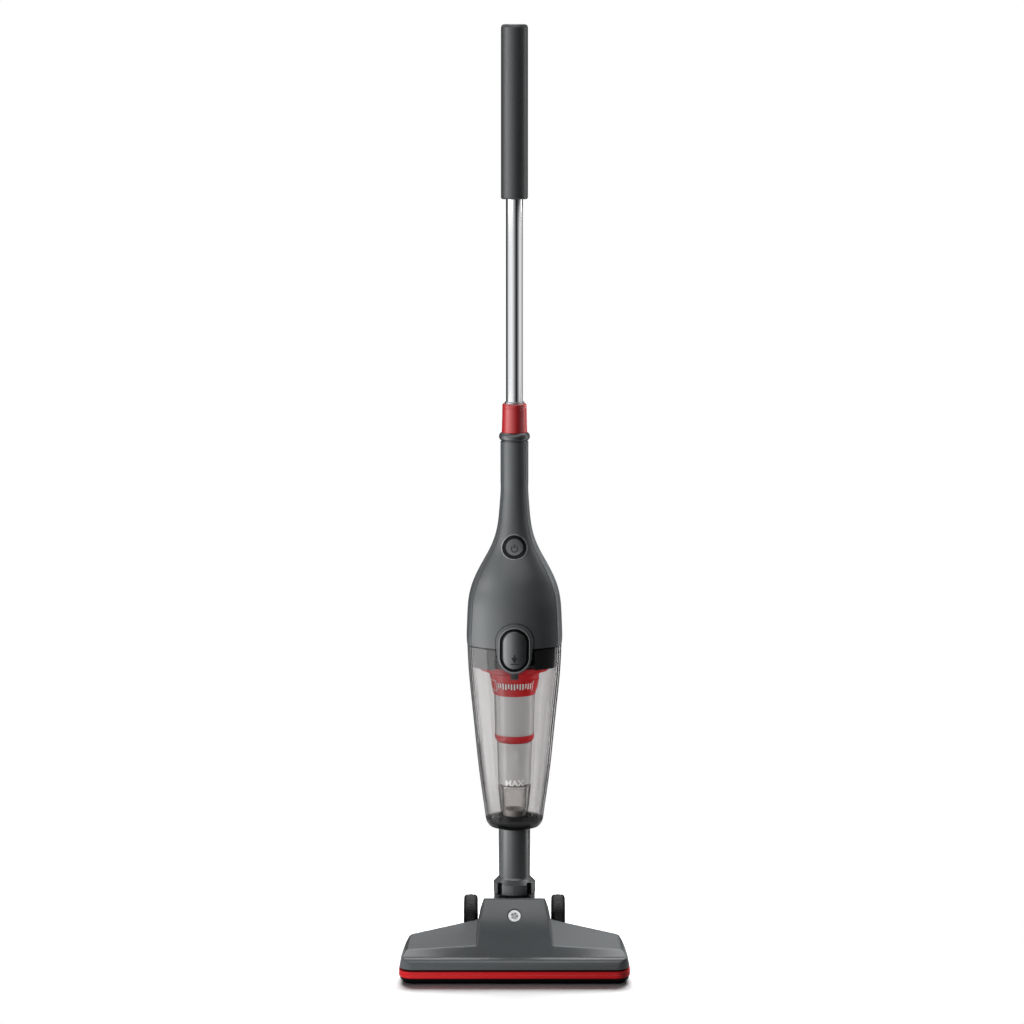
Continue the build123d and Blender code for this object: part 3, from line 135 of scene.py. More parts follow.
class Finish:
    """One procedural material, or the world."""

    def __init__(self, name, world=False):
        self.name = name
        self.owner = (bpy.data.worlds if world else bpy.data.materials).new(name)
        self.owner.use_nodes = True
        self.tree = self.owner.node_tree
        self.tree.nodes.clear()
        end = "ShaderNodeOutputWorld" if world else "ShaderNodeOutputMaterial"
        self.end = self.tree.nodes.new(end)

    def feed(self, socket, value):
        if isinstance(value, Wire):
            self.tree.links.new(value.socket, socket)
        else:
            socket.default_value = value

    def node(self, kind, settings, values, output=0):
        made = self.tree.nodes.new(kind)
        for name, value in settings.items():
            if name == "stops":
                ramp = made.color_ramp.elements
                while len(ramp) < len(value):
                    ramp.new(0.5)
                for stop, (place, paint) in zip(ramp, value):
                    stop.position, stop.color = place, paint
            else:
                setattr(made, name, value)
        for key, value in values.items():
            self.feed(made.inputs[key], value)
        return Wire(self, made.outputs[output])

    def place(self, shift=(0, 0, 0), stretch=(1, 1, 1)):
        """Object coordinates, shifted and stretched by a Mapping node."""
        here = self.node("ShaderNodeTexCoord", {}, {}, "Object")
        values = {"Vector": here, "Location": shift, "Scale": stretch}
        return self.node("ShaderNodeMapping", {}, values)

    def split(self, vector):
        """The X, Y and Z of a vector, as three wires."""
        first = self.node("ShaderNodeSeparateXYZ", {}, {"Vector": vector})
        return [Wire(self, socket) for socket in first.socket.node.outputs]

    def length(self, vector):
        return self.node("ShaderNodeVectorMath", {"operation": "LENGTH"}, {0: vector}, "Value")

    def slope(self, value, low, high, start=0.0, end=1.0, kind="LINEAR"):
        """Goes from start to end as a value goes from low to high, and is level outside them."""
        return self.node("ShaderNodeMapRange", {"interpolation_type": kind}, {
            "Value": value, "From Min": low, "From Max": high, "To Min": start, "To Max": end})

    def cloud(self, where, scale, detail, roughness=0.5):
        """Soft noise from 0 to 1."""
        values = {"Vector": where, "Scale": scale, "Detail": detail, "Roughness": roughness}
        return self.node("ShaderNodeTexNoise", {}, values)

    def blend(self, share, first, second):
        """A colour between two others."""
        values = {"Factor": share, 6: first, 7: second}
        return self.node("ShaderNodeMix", {"data_type": "RGBA"}, values, 2)

    def bump(self, height, strength, distance, under=None):
        values = {"Height": height, "Strength": strength, "Distance": distance}
        if under is not None:
            values["Normal"] = under
        return self.node("ShaderNodeBump", {}, values)

    def surface(self, **values):
        """A Principled shader. Names are written with underscores."""
        named = {name.replace("_", " "): value for name, value in values.items()}
        return self.node("ShaderNodeBsdfPrincipled", {}, named)

    def see_through(self, tint):
        return self.node("ShaderNodeBsdfTransparent", {}, {"Color": tint})

    def mix(self, share, first, second):
        """A shader between two others."""
        return self.node("ShaderNodeMixShader", {}, {0: share, 1: first, 2: second})

    def done(self, shader):
        """Ends the tree in a shader, and files the material by its name."""
        self.tree.links.new(shader.socket, self.end.inputs["Surface"])
        looks[self.name] = self.owner
        return self.owner


# %% Colours
def colour(red, green, blue):
    """A colour picked on a screen, from 0 to 255, as the linear value that shaders need."""
    return tuple(
        v / 255 / 12.92 if v <= 10 else ((v / 255 + 0.055) / 1.055) ** 2.4
        for v in (red, green, blue)
    ) + (1.0,)


def shade(paint, amount):
    """The same colour, lighter or darker."""
    return tuple(min(1.0, v * amount) for v in paint[:3]) + (1.0,)


def flat_grey(level):
    return (level, level, level, 1.0)


WHITE = flat_grey(1.0)
print("mid grey is", round(colour(128, 128, 128)[0], 3), "as a linear value")

# %% [markdown]
# ## Moulded plastic
# Most of the outside is one grey plastic, moulded in a tool whose walls are spark-eroded: a very
# fine sandy grain that breaks up reflections. A tiled image would show its repeats, so the grain is
# made from noise: a fine one for the bump, and slow ones that let colour and gloss drift a little,
# as flow in the mould does. The same recipe, with less grain, also gives the polished plastics.
# Moulded edges are never quite sharp, so a Bevel node can round the light on them, and a flat key
# can be given the crown of a real one by a bump that falls with the square of the distance from its
# middle.


# %% Plastic recipe
FLOW, SMUDGE, SAND = 14, 60, 2600
SAND_DEPTH = 0.00012


def moulded(name, paint, rough, grain=0.16, specular=0.35, change=None, edge=0.0, crown=0.0):
    """`change` is a height and the paint above it, for a part moulded in two colours or painted
    dark above that height as painted shade. `edge` rounds sharp edges by that radius, and `crown`
    makes a flat face look domed across its width."""
    finish = Finish(name)
    where = finish.place()
    flow = finish.cloud(where, FLOW, 3)
    smudge = finish.cloud(where, SMUDGE, 4, 0.6)
    sand = finish.cloud(where, SAND, 2)
    base = finish.blend(flow, shade(paint, 0.95), shade(paint, 1.05))
    if change:
        height = finish.split(where)[2]
        base = finish.blend(height > change[0], base, change[1])
    gloss = rough + (smudge - 0.5) * 0.10 + (sand - 0.5) * 0.04
    under = finish.node("ShaderNodeBevel", {"samples": 8}, {"Radius": edge}) if edge else None
    if crown:
        across = finish.split(where)[0]
        under = finish.bump(across * across * -crown, 1.0, 1.0, under)
    finish.done(finish.surface(
        Base_Color=base, Roughness=gloss, Specular_IOR_Level=specular,
        Normal=finish.bump(sand, grain, SAND_DEPTH, under),
    ))


# %% The main plastics
GREY = colour(80, 83, 85)
moulded("housing_grey", GREY, 0.36, specular=0.5)
moulded("cover_grey", colour(70, 73, 75), 0.30, grain=0.2, specular=0.55, edge=0.0030)
moulded("black_plastic", colour(17, 17, 19), 0.24, grain=0.05, specular=0.5)
moulded("red_plastic", colour(186, 34, 40), 0.30, grain=0.05)
print("plastics", sorted(looks))

# %% [markdown]
# ## Rubber, foam and tyre
# The bumper is a soft red strip with a satin skin. The grip on the pole is foam rubber: its skin is
# closed, but the cells under it show as tiny dimples, for which cell noise is right. The tyres are
# hard glossy rubber with a fine cross-ribbed tread that turns with the wheel, so the ribs are
# counted by the angle about the axle.


# %% Rubber recipe
CELL_SCALE, CELL_DEPTH = 900, 0.00022


def rubber(name, paint, rough, cells=0.0, specular=0.3):
    """`cells` is how strongly the cells of a foam show through its skin."""
    finish = Finish(name)
    where = finish.place()
    flow = finish.cloud(where, 22, 3)
    dust = finish.cloud(where, 1400, 3, 0.7)
    skin = finish.bump(dust, 0.14, 0.00012)
    base = finish.blend(flow, shade(paint, 0.94), shade(paint, 1.07))
    gloss = rough + (dust - 0.5) * 0.12
    if cells:
        values = {"Vector": where, "Scale": CELL_SCALE}
        pores = finish.node("ShaderNodeTexVoronoi", {"feature": "SMOOTH_F1"}, values)
        base = finish.blend((pores * 0.5).clamped(), base, shade(paint, 1.16))
        skin = finish.bump(pores, cells, CELL_DEPTH, skin)
    finish.done(finish.surface(
        Base_Color=base, Roughness=gloss, Specular_IOR_Level=specular, Normal=skin))


rubber("red_bumper", colour(170, 24, 28), 0.34)
rubber("grip_foam", colour(50, 52, 54), 0.42, cells=0.35, specular=0.7)
rubber("black_rubber", colour(24, 24, 25), 0.55)
rubber("wire_jacket", colour(150, 66, 40), 0.5)
print("finishes with the rubbers", len(looks))


# %% Ribbed tyre
AXLE_Y, AXLE_Z = 0.058, 0.034
TREAD_FROM, RIBS = 0.0328, 90


def tyre_rubber(name):
    """Black rubber that is ribbed outside the radius where the tread begins."""
    finish = Finish(name)
    where = finish.place()
    _, y, z = finish.split(where)
    y, z = y - AXLE_Y, z - AXLE_Z
    out = (y * y + z * z) ** 0.5
    tread = (y.angle(z) * RIBS).sine() * (out > TREAD_FROM)
    dust = finish.cloud(where, 1200, 3)
    finish.done(finish.surface(
        Base_Color=finish.blend(dust, colour(6, 6, 7), colour(12, 12, 13)),
        Roughness=0.22 + dust * 0.10, Specular_IOR_Level=0.15,
        Normal=finish.bump(tread * 0.5 + 0.5, 0.5, 0.0004, finish.bump(dust, 0.08, 0.0001)),
    ))


tyre_rubber("wheel_rubber")
print("ribs round a tyre", RIBS)

# %% [markdown]
# ## Smoky clear plastic
# The dust bin is moulded in clear plastic with a little smoke in it, thin enough that light hardly
# bends. Full glass would be slow and noisy, so the wall mixes three things: a Transparent shader
# that tints what lies behind, a mirror skin that grows towards the outline, and a share of grey
# haze. Near the outline the line of sight runs a long way inside the wall, so a Layer Weight makes
# it darker there. The closed foot of the bin is thicker, and so darker, than its wall.


# %% Clear recipe
LACQUER = 0.6


def clear_wall(name, tint, haze, body_share, edge_share, edge_power, rough=0.05,
               mirror_share=0.45, foot=None):
    """`body_share` and `edge_share` are how much haze shows face on and at the outline. `foot` is
    two heights between which the wall thickens, and so darkens, towards its closed end."""
    finish = Finish(name)
    streak = finish.cloud(finish.place(stretch=(1, 1, 0.12)), 120, 3)
    facing = finish.node("ShaderNodeLayerWeight", {}, {"Blend": 0.5}, "Facing")
    rim = facing ** edge_power
    share = rim * (edge_share - body_share) + body_share + (streak - 0.5) * 0.05
    paint = finish.blend(rim, haze, shade(haze, 0.28))
    lacquer = LACQUER
    if foot:
        height = finish.split(finish.place())[2]
        thick = finish.slope(height, *foot, 1.0, 0.0)
        lacquer = (1 - thick) * LACQUER
        share, paint = share + thick * 0.9, finish.blend(thick, paint, colour(3, 3, 3))
    wall = finish.surface(
        Base_Color=paint, Roughness=rough + streak * 0.05, Specular_IOR_Level=0.5,
        Coat_Weight=lacquer, Coat_Roughness=0.03,
    )
    body = finish.mix(share.clamped(), finish.see_through(tint), wall)
    mirror = finish.surface(Base_Color=WHITE, Metallic=1.0, Roughness=rough * 0.6)
    finish.done(finish.mix(facing ** 4 * mirror_share + 0.018, body, mirror))


# %% Bin, inlet duct and filter sleeve
bin_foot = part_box("bin_shell")[0].z
clear_wall("clear_smoke", colour(239, 238, 238), colour(86, 85, 84), 0.035, 0.95, 3.0,
           foot=(bin_foot + 0.0045, bin_foot + 0.0080))
clear_wall("smoke_plastic", colour(251, 250, 249), colour(24, 23, 23), 0.02, 0.99, 1.6,
           mirror_share=0.4)
clear_wall("filter_white", colour(246, 246, 245), colour(222, 222, 222), 0.60, 0.95, 1.8,
           rough=0.35)
print("foot of the bin", round(bin_foot, 4), "finishes with the clear ones", len(looks))

# %% [markdown]
# ## Metals
# The pole is drawn steel tube under chrome: almost a mirror, with faint lines along its length from
# drawing and polishing. Screws, springs and the motor can are plainer steel, brushed by handling. A
# noise stretched a hundred times along one axis makes the lines, and without the stretch the same
# noise is the plain handled surface.


# %% Metal recipe
LINE_SCALE = 1600
ALL_ROUND = (1, 1, 1)


def metal(name, paint, rough, along=(1, 1, 0.01), line=0.05, spread=0.08):
    """`line` is how deep the lines are, and `spread` how much they change the gloss."""
    finish = Finish(name)
    lines = finish.cloud(finish.place(stretch=along), LINE_SCALE, 3)
    haze = finish.cloud(finish.place(), 30, 4)
    finish.done(finish.surface(
        Base_Color=finish.blend(haze, shade(paint, 0.95), shade(paint, 1.03)), Metallic=1.0,
        Roughness=rough + (lines - 0.5) * spread + (haze - 0.5) * spread * 0.5,
        Normal=finish.bump(lines, line, 0.00008),
    ))


metal("chrome_steel", colour(228, 229, 231), 0.09, line=0.02, spread=0.04)
metal("screw_steel", colour(160, 162, 164), 0.34, along=ALL_ROUND)
metal("spring_steel", colour(178, 180, 182), 0.22, along=ALL_ROUND)
metal("motor_steel", colour(150, 153, 156), 0.38, line=0.12)
metal("impeller_alloy", colour(196, 199, 202), 0.35, along=ALL_ROUND, line=0.1)
print("finishes with the metals", len(looks))

# %% [markdown]
# ## Laminations and a spun badge
# The motor's core is a stack of thin steel sheets, so a sine over the height draws a dark line at
# every joint. The badge is satin metal turned on a lathe: fine rings about its middle, a plain
# petalled pattern etched dark over them, and a dark line at the rim. Both are counted in real
# distances, so they stay right at any size of render.


# %% Laminations
def laminated(name, paint, pitch):
    """A stack of thin steel sheets: a dark line at every joint."""
    finish = Finish(name)
    where = finish.place()
    height = finish.split(where)[2]
    sheet = (height * (2 * math.pi / pitch)).sine() * 0.5 + 0.5
    scale = finish.cloud(where, 300, 3)
    finish.done(finish.surface(
        Base_Color=finish.blend(sheet * scale, shade(paint, 0.6), shade(paint, 1.15)),
        Metallic=0.8, Roughness=0.42 + scale * 0.15, Normal=finish.bump(sheet, 0.5, 0.0002),
    ))


SHEET = 0.001
laminated("lamination", colour(96, 98, 102), SHEET)
print("one sheet is", SHEET / MM, "mm")


# %% Spun badge
ETCHED_FROM, ETCHED_TO, PETALS = 0.0009, 0.0044, 5
RIM_LINE, RING_PITCH = 0.0005, 0.0007


def spun(name, paint, centre, rim):
    """Satin metal with fine rings about a point on its face."""
    finish = Finish(name)
    where = finish.place(shift=tuple(-v for v in centre))
    ring = finish.length(where)
    rings = (ring * (2 * math.pi / RING_PITCH)).sine() * 0.5 + 0.5
    grain = finish.cloud(where, 900, 3)
    x, _, z = finish.split(where)
    petals = (x.angle(z) * PETALS).sine() * 0.25 + 0.72
    etched = (ring > ETCHED_FROM) * (ring < ETCHED_TO) * petals + (ring > rim - RIM_LINE)
    bright = finish.blend(grain, shade(paint, 0.93), paint)
    finish.done(finish.surface(
        Base_Color=finish.blend(etched, bright, shade(paint, 0.10)), Metallic=0.35,
        Roughness=0.30 + rings * 0.08, Normal=finish.bump(rings * 0.7 + grain * 0.3, 0.12, 0.0001),
    ))


badge_low, badge_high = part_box("head_badge")
badge_rim = (badge_high.x - badge_low.x) / 2
spun("badge_silver", colour(238, 239, 240), (badge_low + badge_high) / 2, badge_rim)
print("radius of the badge", round(badge_rim, 4))

# %% [markdown]
# ## Paper, foam, felt, carbon
# What is left is soft or fibrous. One recipe serves: tangled noise for fibres, a second noise for
# patches, and a matte shader with a little sheen.


# %% Fibre recipe
def fibrous(name, paint, scale, depth, sheen=0.2, rough=0.85, stretch=(1, 1, 1)):
    finish = Finish(name)
    where = finish.place(stretch=stretch)
    fibres = finish.cloud(where, scale, 5, 0.7)
    patches = finish.cloud(where, scale * 0.08, 3)
    tone = (fibres * 0.7 + patches * 0.3).clamped()
    finish.done(finish.surface(
        Base_Color=finish.blend(tone, shade(paint, 0.7), shade(paint, 1.2)),
        Roughness=rough + (fibres - 0.5) * 0.1, Specular_IOR_Level=0.2, Sheen_Weight=sheen,
        Normal=finish.bump(fibres, 0.6, depth),
    ))


fibrous("filter_paper", colour(228, 228, 225), 1800, 0.0002)
fibrous("foam_black", colour(40, 41, 42), 1100, 0.0008)
fibrous("carbon", colour(38, 38, 40), 2400, 0.0001, sheen=0.0, rough=0.6)
fibrous("bristle", colour(34, 34, 36), 2500, 0.0002, stretch=(1, 1, 0.1))
fibrous("lint_red", colour(168, 36, 40), 2600, 0.0005, sheen=0.6)
print("finishes with the fibres", len(looks))

# %% [markdown]
# ## Dressing the CAD nodes
# Each CAD node names a material slot in the record, and takes the finish of that name. A few nodes
# get their own. The keys are smoother than the housing round them. Their wells, the power key's
# bezel and the base of the floor head are a deeper black than the black plastic, which is painted
# shade, and the base of the bin takes the same deep black. The neck tube and the pole collar show a
# little more gloss. Two parts change colour at one height: the neck tube ends in a pale spigot, and
# the frame over the bin is painted black above its seat, as painted shade in the gap between the
# housing and the bin.

# %% Finishes for single nodes
KEY_GREY, TUBE_GREY = colour(84, 87, 89), colour(54, 56, 58)
SPIGOT_FROM, SEAT_TOP = 0.1812, 0.3845
moulded("button_grey", KEY_GREY, 0.30, grain=0.08, specular=0.6)
moulded("crowned_grey", KEY_GREY, 0.30, grain=0.08, specular=0.6, crown=22.0)
moulded("tube_grey", TUBE_GREY, 0.34, grain=0.08, specular=0.9)
moulded("collar_red", colour(186, 36, 42), 0.24, grain=0.05, specular=0.9)
moulded("neck_grey", TUBE_GREY, 0.34, grain=0.08, specular=0.9,
        change=(SPIGOT_FROM, colour(225, 224, 222)))
# Black above the seat: painted shade in the gap between the housing and the bin.
moulded("frame_grey_painted_gap_shade", GREY, 0.38, change=(SEAT_TOP, colour(3, 3, 3)))
# A deeper black than the black plastic, with less gloss: painted shade in the wells round the keys
# and under the floor head.
moulded("deep_black_painted_shade", colour(5, 5, 6), 0.4, grain=0.05, specular=0.15)
moulded("flap_silicone", colour(176, 175, 174), 0.45, grain=0.05)
print("finishes with the single ones", len(looks))

# %% Give every node its finish
own_look = {
    "intake_frame": "frame_grey_painted_gap_shade", "inlet_flap": "flap_silicone", "release_well": "deep_black_painted_shade",
    "power_bezel": "deep_black_painted_shade", "bin_base": "deep_black_painted_shade", "head_base": "deep_black_painted_shade",
    "power_button": "button_grey", "release_button": "crowned_grey", "neck_tube": "neck_grey",
    "pole_socket": "tube_grey", "pole_collar": "collar_red",
}
slot_of = {row["node"]: row["material_slot"] for row in frame["record"]["subparts"]}
for name, node in nodes.items():
    node.data.materials.clear()
    node.data.materials.append(looks[own_look.get(name, slot_of[name])])
print("dressed", len(nodes))

# %% [markdown]
# ## Helpers for modelling
# New pieces are made as by hand: add a primitive, go into edit mode, select by place, extrude,
# inset or bevel, and apply modifiers. An operator works on everything selected, so each piece
# starts by deselecting. At the end the place goes into the mesh, so that the object sits at the
# origin and rides on its rigid body.


# %% Selecting
def deselect():
    if bpy.context.object and bpy.context.object.mode != "OBJECT":
        bpy.ops.object.mode_set(mode="OBJECT")
    bpy.ops.object.select_all(action="DESELECT")


def edit_all():
    bpy.ops.object.mode_set(mode="EDIT")
    bpy.ops.mesh.select_all(action="SELECT")


def select_faces(test):
    """In edit mode, selects the faces whose centre and normal pass a test."""
    bpy.ops.mesh.select_all(action="DESELECT")
    mesh = bmesh.from_edit_mesh(bpy.context.object.data)
    for face in mesh.faces:
        face.select_set(test(face.calc_center_median(), face.normal))
    mesh.select_flush(True)
    bmesh.update_edit_mesh(bpy.context.object.data)


# %% Shaping and placing
def modify(piece, kind, **settings):
    """Adds a modifier and applies it."""
    modifier = piece.modifiers.new(kind.title(), kind)
    for name, value in settings.items():
        setattr(modifier, name, value)
    bpy.context.view_layer.objects.active = piece
    bpy.ops.object.modifier_apply(modifier=modifier.name)


def bake_place(piece):
    """Moves an object's place into its mesh."""
    piece.data.transform(piece.matrix_basis)
    piece.matrix_basis = Matrix.Identity(4)


def join(pieces):
    deselect()
    for piece in pieces:
        piece.select_set(True)
    bpy.context.view_layer.objects.active = pieces[0]
    if len(pieces) > 1:
        bpy.ops.object.join()
    return bpy.context.object


def copies(piece, places):
    """Copies of a piece, each with its own mesh, joined to one object."""
    made = []
    for place in places:
        twin = piece.copy()
        twin.data = piece.data.copy()
        twin.data.transform(place)
        bpy.context.scene.collection.objects.link(twin)
        made.append(twin)
    bpy.data.objects.remove(piece)
    return join(made)


# %% Finishing a piece
MERGE_DISTANCE = 0.000002
SMOOTH_BELOW = math.radians(30)


def settle(piece, name, body, look, replaced=()):
    """Names a finished piece, gives it its finish and lets it ride on its body."""
    deselect()
    piece.name = piece.data.name = name
    bake_place(piece)
    piece.select_set(True)
    bpy.context.view_layer.objects.active = piece
    edit_all()
    bpy.ops.mesh.remove_doubles(threshold=MERGE_DISTANCE)
    bpy.ops.mesh.normals_make_consistent(inside=False)
    bpy.ops.object.mode_set(mode="OBJECT")
    bpy.ops.object.shade_smooth_by_angle(angle=SMOOTH_BELOW)
    piece.data.materials.clear()
    piece.data.materials.append(looks[look])
    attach(piece, body)
    if replaced:
        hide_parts(*replaced)
    print(name, "faces", len(piece.data.polygons))


# %% [markdown]
# ## Screws with a cross recess
# The floor head is held together by small pan-head screws for plastic. A screw's head is a short
# cylinder: its top is inset and pushed up to make the low dome, and the cross is cut by a boolean
# with two crossed blades. One screw is made and copied to each place under the floor head, where it
# stands for the plain CAD screws.

# %% One screw
HEAD_R, HEAD_H, SHANK_R, SHANK_L = 0.0031, 0.0022, 0.0014, 0.012
DOME_STEPS = ((0.0006, 0.00022), (0.0009, 0.00012))
BLADE = (0.0034, 0.0007, 0.0024)


def cross_screw():
    """A screw at the origin: the underside of its head at z = 0, the head towards +Z."""
    deselect()
    bpy.ops.mesh.primitive_cylinder_add(
        vertices=32, radius=HEAD_R, depth=HEAD_H, location=(0, 0, HEAD_H / 2))
    pan = bpy.context.object
    edit_all()
    select_faces(lambda centre, normal: normal.z > 0.9)
    for inwards, up in DOME_STEPS:
        bpy.ops.mesh.inset(thickness=inwards)
        bpy.ops.transform.translate(value=(0, 0, up))
    bpy.ops.object.mode_set(mode="OBJECT")
    blades = []
    for turn in (0, math.pi / 2):
        deselect()
        bpy.ops.mesh.primitive_cube_add(size=1, location=(0, 0, HEAD_H), rotation=(0, 0, turn))
        blade = bpy.context.object
        blade.scale = BLADE
        bake_place(blade)
        blades.append(blade)
    for blade in blades:
        modify(pan, "BOOLEAN", operation="DIFFERENCE", object=blade, solver="EXACT")
        bpy.data.objects.remove(blade)
    deselect()
    bpy.ops.mesh.primitive_cylinder_add(
        vertices=16, radius=SHANK_R, depth=SHANK_L, location=(0, 0, -SHANK_L / 2))
    shank = bpy.context.object
    bake_place(pan)
    bake_place(shank)
    return join([pan, shank])


# %% The screws under the head
SCREW_SEAT_Z = 5.0 * MM
screw_places = [
    Matrix.Translation((side * x * MM, y * MM, SCREW_SEAT_Z)) @ Matrix.Rotation(math.pi, 4, "X")
    for x, y in ((108, -38), (62, -12)) for side in (-1, 1)
]
settle(copies(cross_screw(), screw_places), "head_cross_screws", "floor_head",
       "screw_steel", replaced=["head_screws"])
print("screws under the head", len(screw_places))

# %% [markdown]
# ## Bristles at the suction mouth
# A low row of bristles sweeps the dust towards the mouth. Real ones are tufts set in a strip. One
# tuft is a thin five-sided cone, and it is repeated in two staggered rows along the strip.

# %% Two rows of tufts
brush_low, brush_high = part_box("bristle_strip")
brush_height = brush_high.z - brush_low.z
TUFTS, END_GAP, ROW_GAP, STAGGER = 86, 0.0015, 0.0012, 0.25
tuft_height = brush_height * 0.62
deselect()
bpy.ops.mesh.primitive_cone_add(
    vertices=5, radius1=0.0004, radius2=0.0007, depth=tuft_height,
    location=(0, 0, tuft_height / 2))
tuft = bpy.context.object
bake_place(tuft)
first_x, first_y = brush_low.x + END_GAP, brush_low.y + 0.0009
step = (brush_high.x - brush_low.x - 2 * END_GAP) / (TUFTS - 1)
tuft_places = [
    Matrix.Translation((first_x + step * (i + STAGGER * row), first_y + ROW_GAP * row, brush_low.z))
    for i in range(TUFTS) for row in (0, 1)
]
# The back row is one tuft short, since its last would stand within a millimetre of the strip's end.
tufts = copies(tuft, tuft_places[:-1])
print("tufts", len(tuft_places) - 1)

# %% The strip that holds them
deselect()
bpy.ops.mesh.primitive_cube_add(size=1, location=((brush_low + brush_high) / 2))
strip = bpy.context.object
strip.scale = (brush_high.x - brush_low.x, brush_high.y - brush_low.y, brush_height * 0.45)
strip.location.z = brush_high.z - strip.scale.z / 2
bake_place(strip)
modify(strip, "BEVEL", width=0.0003, segments=2)
settle(join([tufts, strip]), "brush_tufts", "floor_head", "bristle",
       replaced=["bristle_strip"])

# %% [markdown]
# ## Small printed marks
# The power key carries the usual broken ring with a bar, the release key a short arrow, and the
# bin a fill line. Print is a film of paint, so each mark is a thin flat piece that a Shrinkwrap
# modifier lays on the curved plastic, a tenth of a millimetre proud, with no name or maker's sign
# anywhere.


# %% Lay a flat mark on a curved face
def lay_on(mark, target, lift=0.00012, thick=0.0001):
    """Projects a mark that faces -Y back onto a CAD node."""
    modify(mark, "SHRINKWRAP", target=nodes[target], wrap_method="PROJECT", use_project_y=True,
           use_positive_direction=True, use_negative_direction=False, offset=lift)
    modify(mark, "SOLIDIFY", thickness=thick, offset=0.0)


# %% Ink
def ink(name, paint, rough):
    finish = Finish(name)
    mottle = finish.cloud(finish.place(), 900, 4, 0.7)
    finish.done(finish.surface(
        Base_Color=finish.blend(mottle, shade(paint, 0.88), paint), Roughness=rough + mottle * 0.1,
        Normal=finish.bump(mottle, 0.1, 0.00005),
    ))


ink("dark_ink", colour(10, 10, 11), 0.4)
ink("pale_ink", colour(236, 234, 232), 0.45)
print("finishes with the inks", len(looks))

# %% Flat shapes that face the front
FRONTWARDS = (math.pi / 2, 0, 0)


def bar(width, height, z, y, cuts):
    """A flat bar, cut into short lengths so that it can follow a curve."""
    deselect()
    bpy.ops.mesh.primitive_grid_add(
        x_subdivisions=cuts, y_subdivisions=2, size=1, location=(0, y, z), rotation=FRONTWARDS)
    piece = bpy.context.object
    piece.scale = (width, height, 1)
    bake_place(piece)
    return piece


def ring_arc(radius, width, z, y, open_angle=0.0):
    """A flat ring, with a gap at its top."""
    deselect()
    bpy.ops.mesh.primitive_circle_add(
        vertices=48, radius=radius, location=(0, y, z), rotation=FRONTWARDS)
    piece = bpy.context.object
    bake_place(piece)
    edit_all()
    bpy.ops.mesh.extrude_edges_move()
    inner = (radius - width) / radius
    bpy.ops.transform.resize(value=(inner, inner, inner), center_override=(0, y, z))
    if open_angle:
        bpy.ops.mesh.select_mode(type="FACE")
        select_faces(lambda centre, _: abs(math.atan2(centre.x, centre.z - z)) < open_angle)
        bpy.ops.mesh.delete(type="FACE")
    bpy.ops.object.mode_set(mode="OBJECT")
    return piece


# %% The broken ring on the power key
AHEAD = 0.01
key_low, key_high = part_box("power_button")
key_z = (key_low.z + key_high.z) / 2 - 0.0005
power_mark = join([
    ring_arc(0.0044, 0.0017, key_z, key_low.y - AHEAD, 0.6),
    bar(0.0017, 0.0046, key_z + 0.0028, key_low.y - AHEAD, 2),
])
lay_on(power_mark, "power_button")
settle(power_mark, "power_mark", "power_key", "dark_ink")

# %% The arrow on the release key
latch_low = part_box("release_button")[0]
MARK_Z = 0.3765
arrow_z = MARK_Z - 0.0008
deselect()
bpy.ops.mesh.primitive_circle_add(
    vertices=3, radius=0.0044, fill_type="NGON",
    location=(0, latch_low.y - AHEAD, arrow_z), rotation=FRONTWARDS)
arrow = bpy.context.object
bake_place(arrow)
edit_all()
bpy.ops.transform.resize(value=(1, 1, -1), center_override=(0, 0, arrow_z))
bpy.ops.object.mode_set(mode="OBJECT")
release_mark = join([
    arrow,
    bar(0.0018, 0.0042, MARK_Z + 0.0026, latch_low.y - AHEAD, 2),
    bar(0.0096, 0.0012, MARK_Z - 0.0062, latch_low.y - AHEAD, 4),
])
lay_on(release_mark, "release_button")
settle(release_mark, "release_mark", "release_key", "dark_ink")

# %% [markdown]
# ## Beads round the keys
# A raised bead a millimetre wide frames each key and catches the light, and its grey, much paler
# than the housing, is a painted highlight. It could be a bevelled curve, but a flat ring laid on
# the housing by the same projection follows its curve exactly. For the long release key, the two
# halves of the ring are moved apart.


# %% The round bead
def bead(piece, target):
    lay_on(piece, target, lift=0.00025, thick=0.0005)
    modify(piece, "BEVEL", width=0.0002, segments=2)


POWER_AT, POWER_TILT = (0, -0.0253, 0.5025), math.radians(-22)
# Paler than the housing: a painted highlight on the beads.
moulded("bead_painted_highlight", colour(140, 142, 144), 0.22, grain=0.03, specular=0.9)
power_bead = ring_arc(0.0153, 0.0010, 0, -0.012)
power_bead.location = POWER_AT
power_bead.rotation_euler = (POWER_TILT, 0, 0)
bead(power_bead, "front_cover")
settle(power_bead, "power_bead", "motor_unit", "bead_painted_highlight")

# %% The long bead
RELEASE_AT, RELEASE_STRAIGHT, NEAR_MIDDLE = 0.3863, 0.0084, 0.0004
release_bead = ring_arc(0.0181, 0.0009, RELEASE_AT, latch_low.y - 2 * AHEAD)
edit_all()
bpy.ops.mesh.select_mode(type="VERT")
for side in (-1, 1):
    bpy.ops.mesh.select_all(action="DESELECT")
    mesh = bmesh.from_edit_mesh(release_bead.data)
    for vert in mesh.verts:
        vert.select_set((vert.co.z - RELEASE_AT) * side > NEAR_MIDDLE)
    bmesh.update_edit_mesh(release_bead.data)
    bpy.ops.transform.translate(value=(0, 0, side * RELEASE_STRAIGHT))
bpy.ops.mesh.select_all(action="SELECT")
bpy.ops.mesh.subdivide(number_cuts=3)
bpy.ops.object.mode_set(mode="OBJECT")
bead(release_bead, "release_bezel")
settle(release_bead, "release_bead", "motor_unit", "bead_painted_highlight")

# %% [markdown]
# ## The fill line on the bin
# A line low on the bin says how full it may get, with a plain word over it. The word is a text
# object made a mesh, joined to a long bar, and both are laid on the clear wall like the marks.

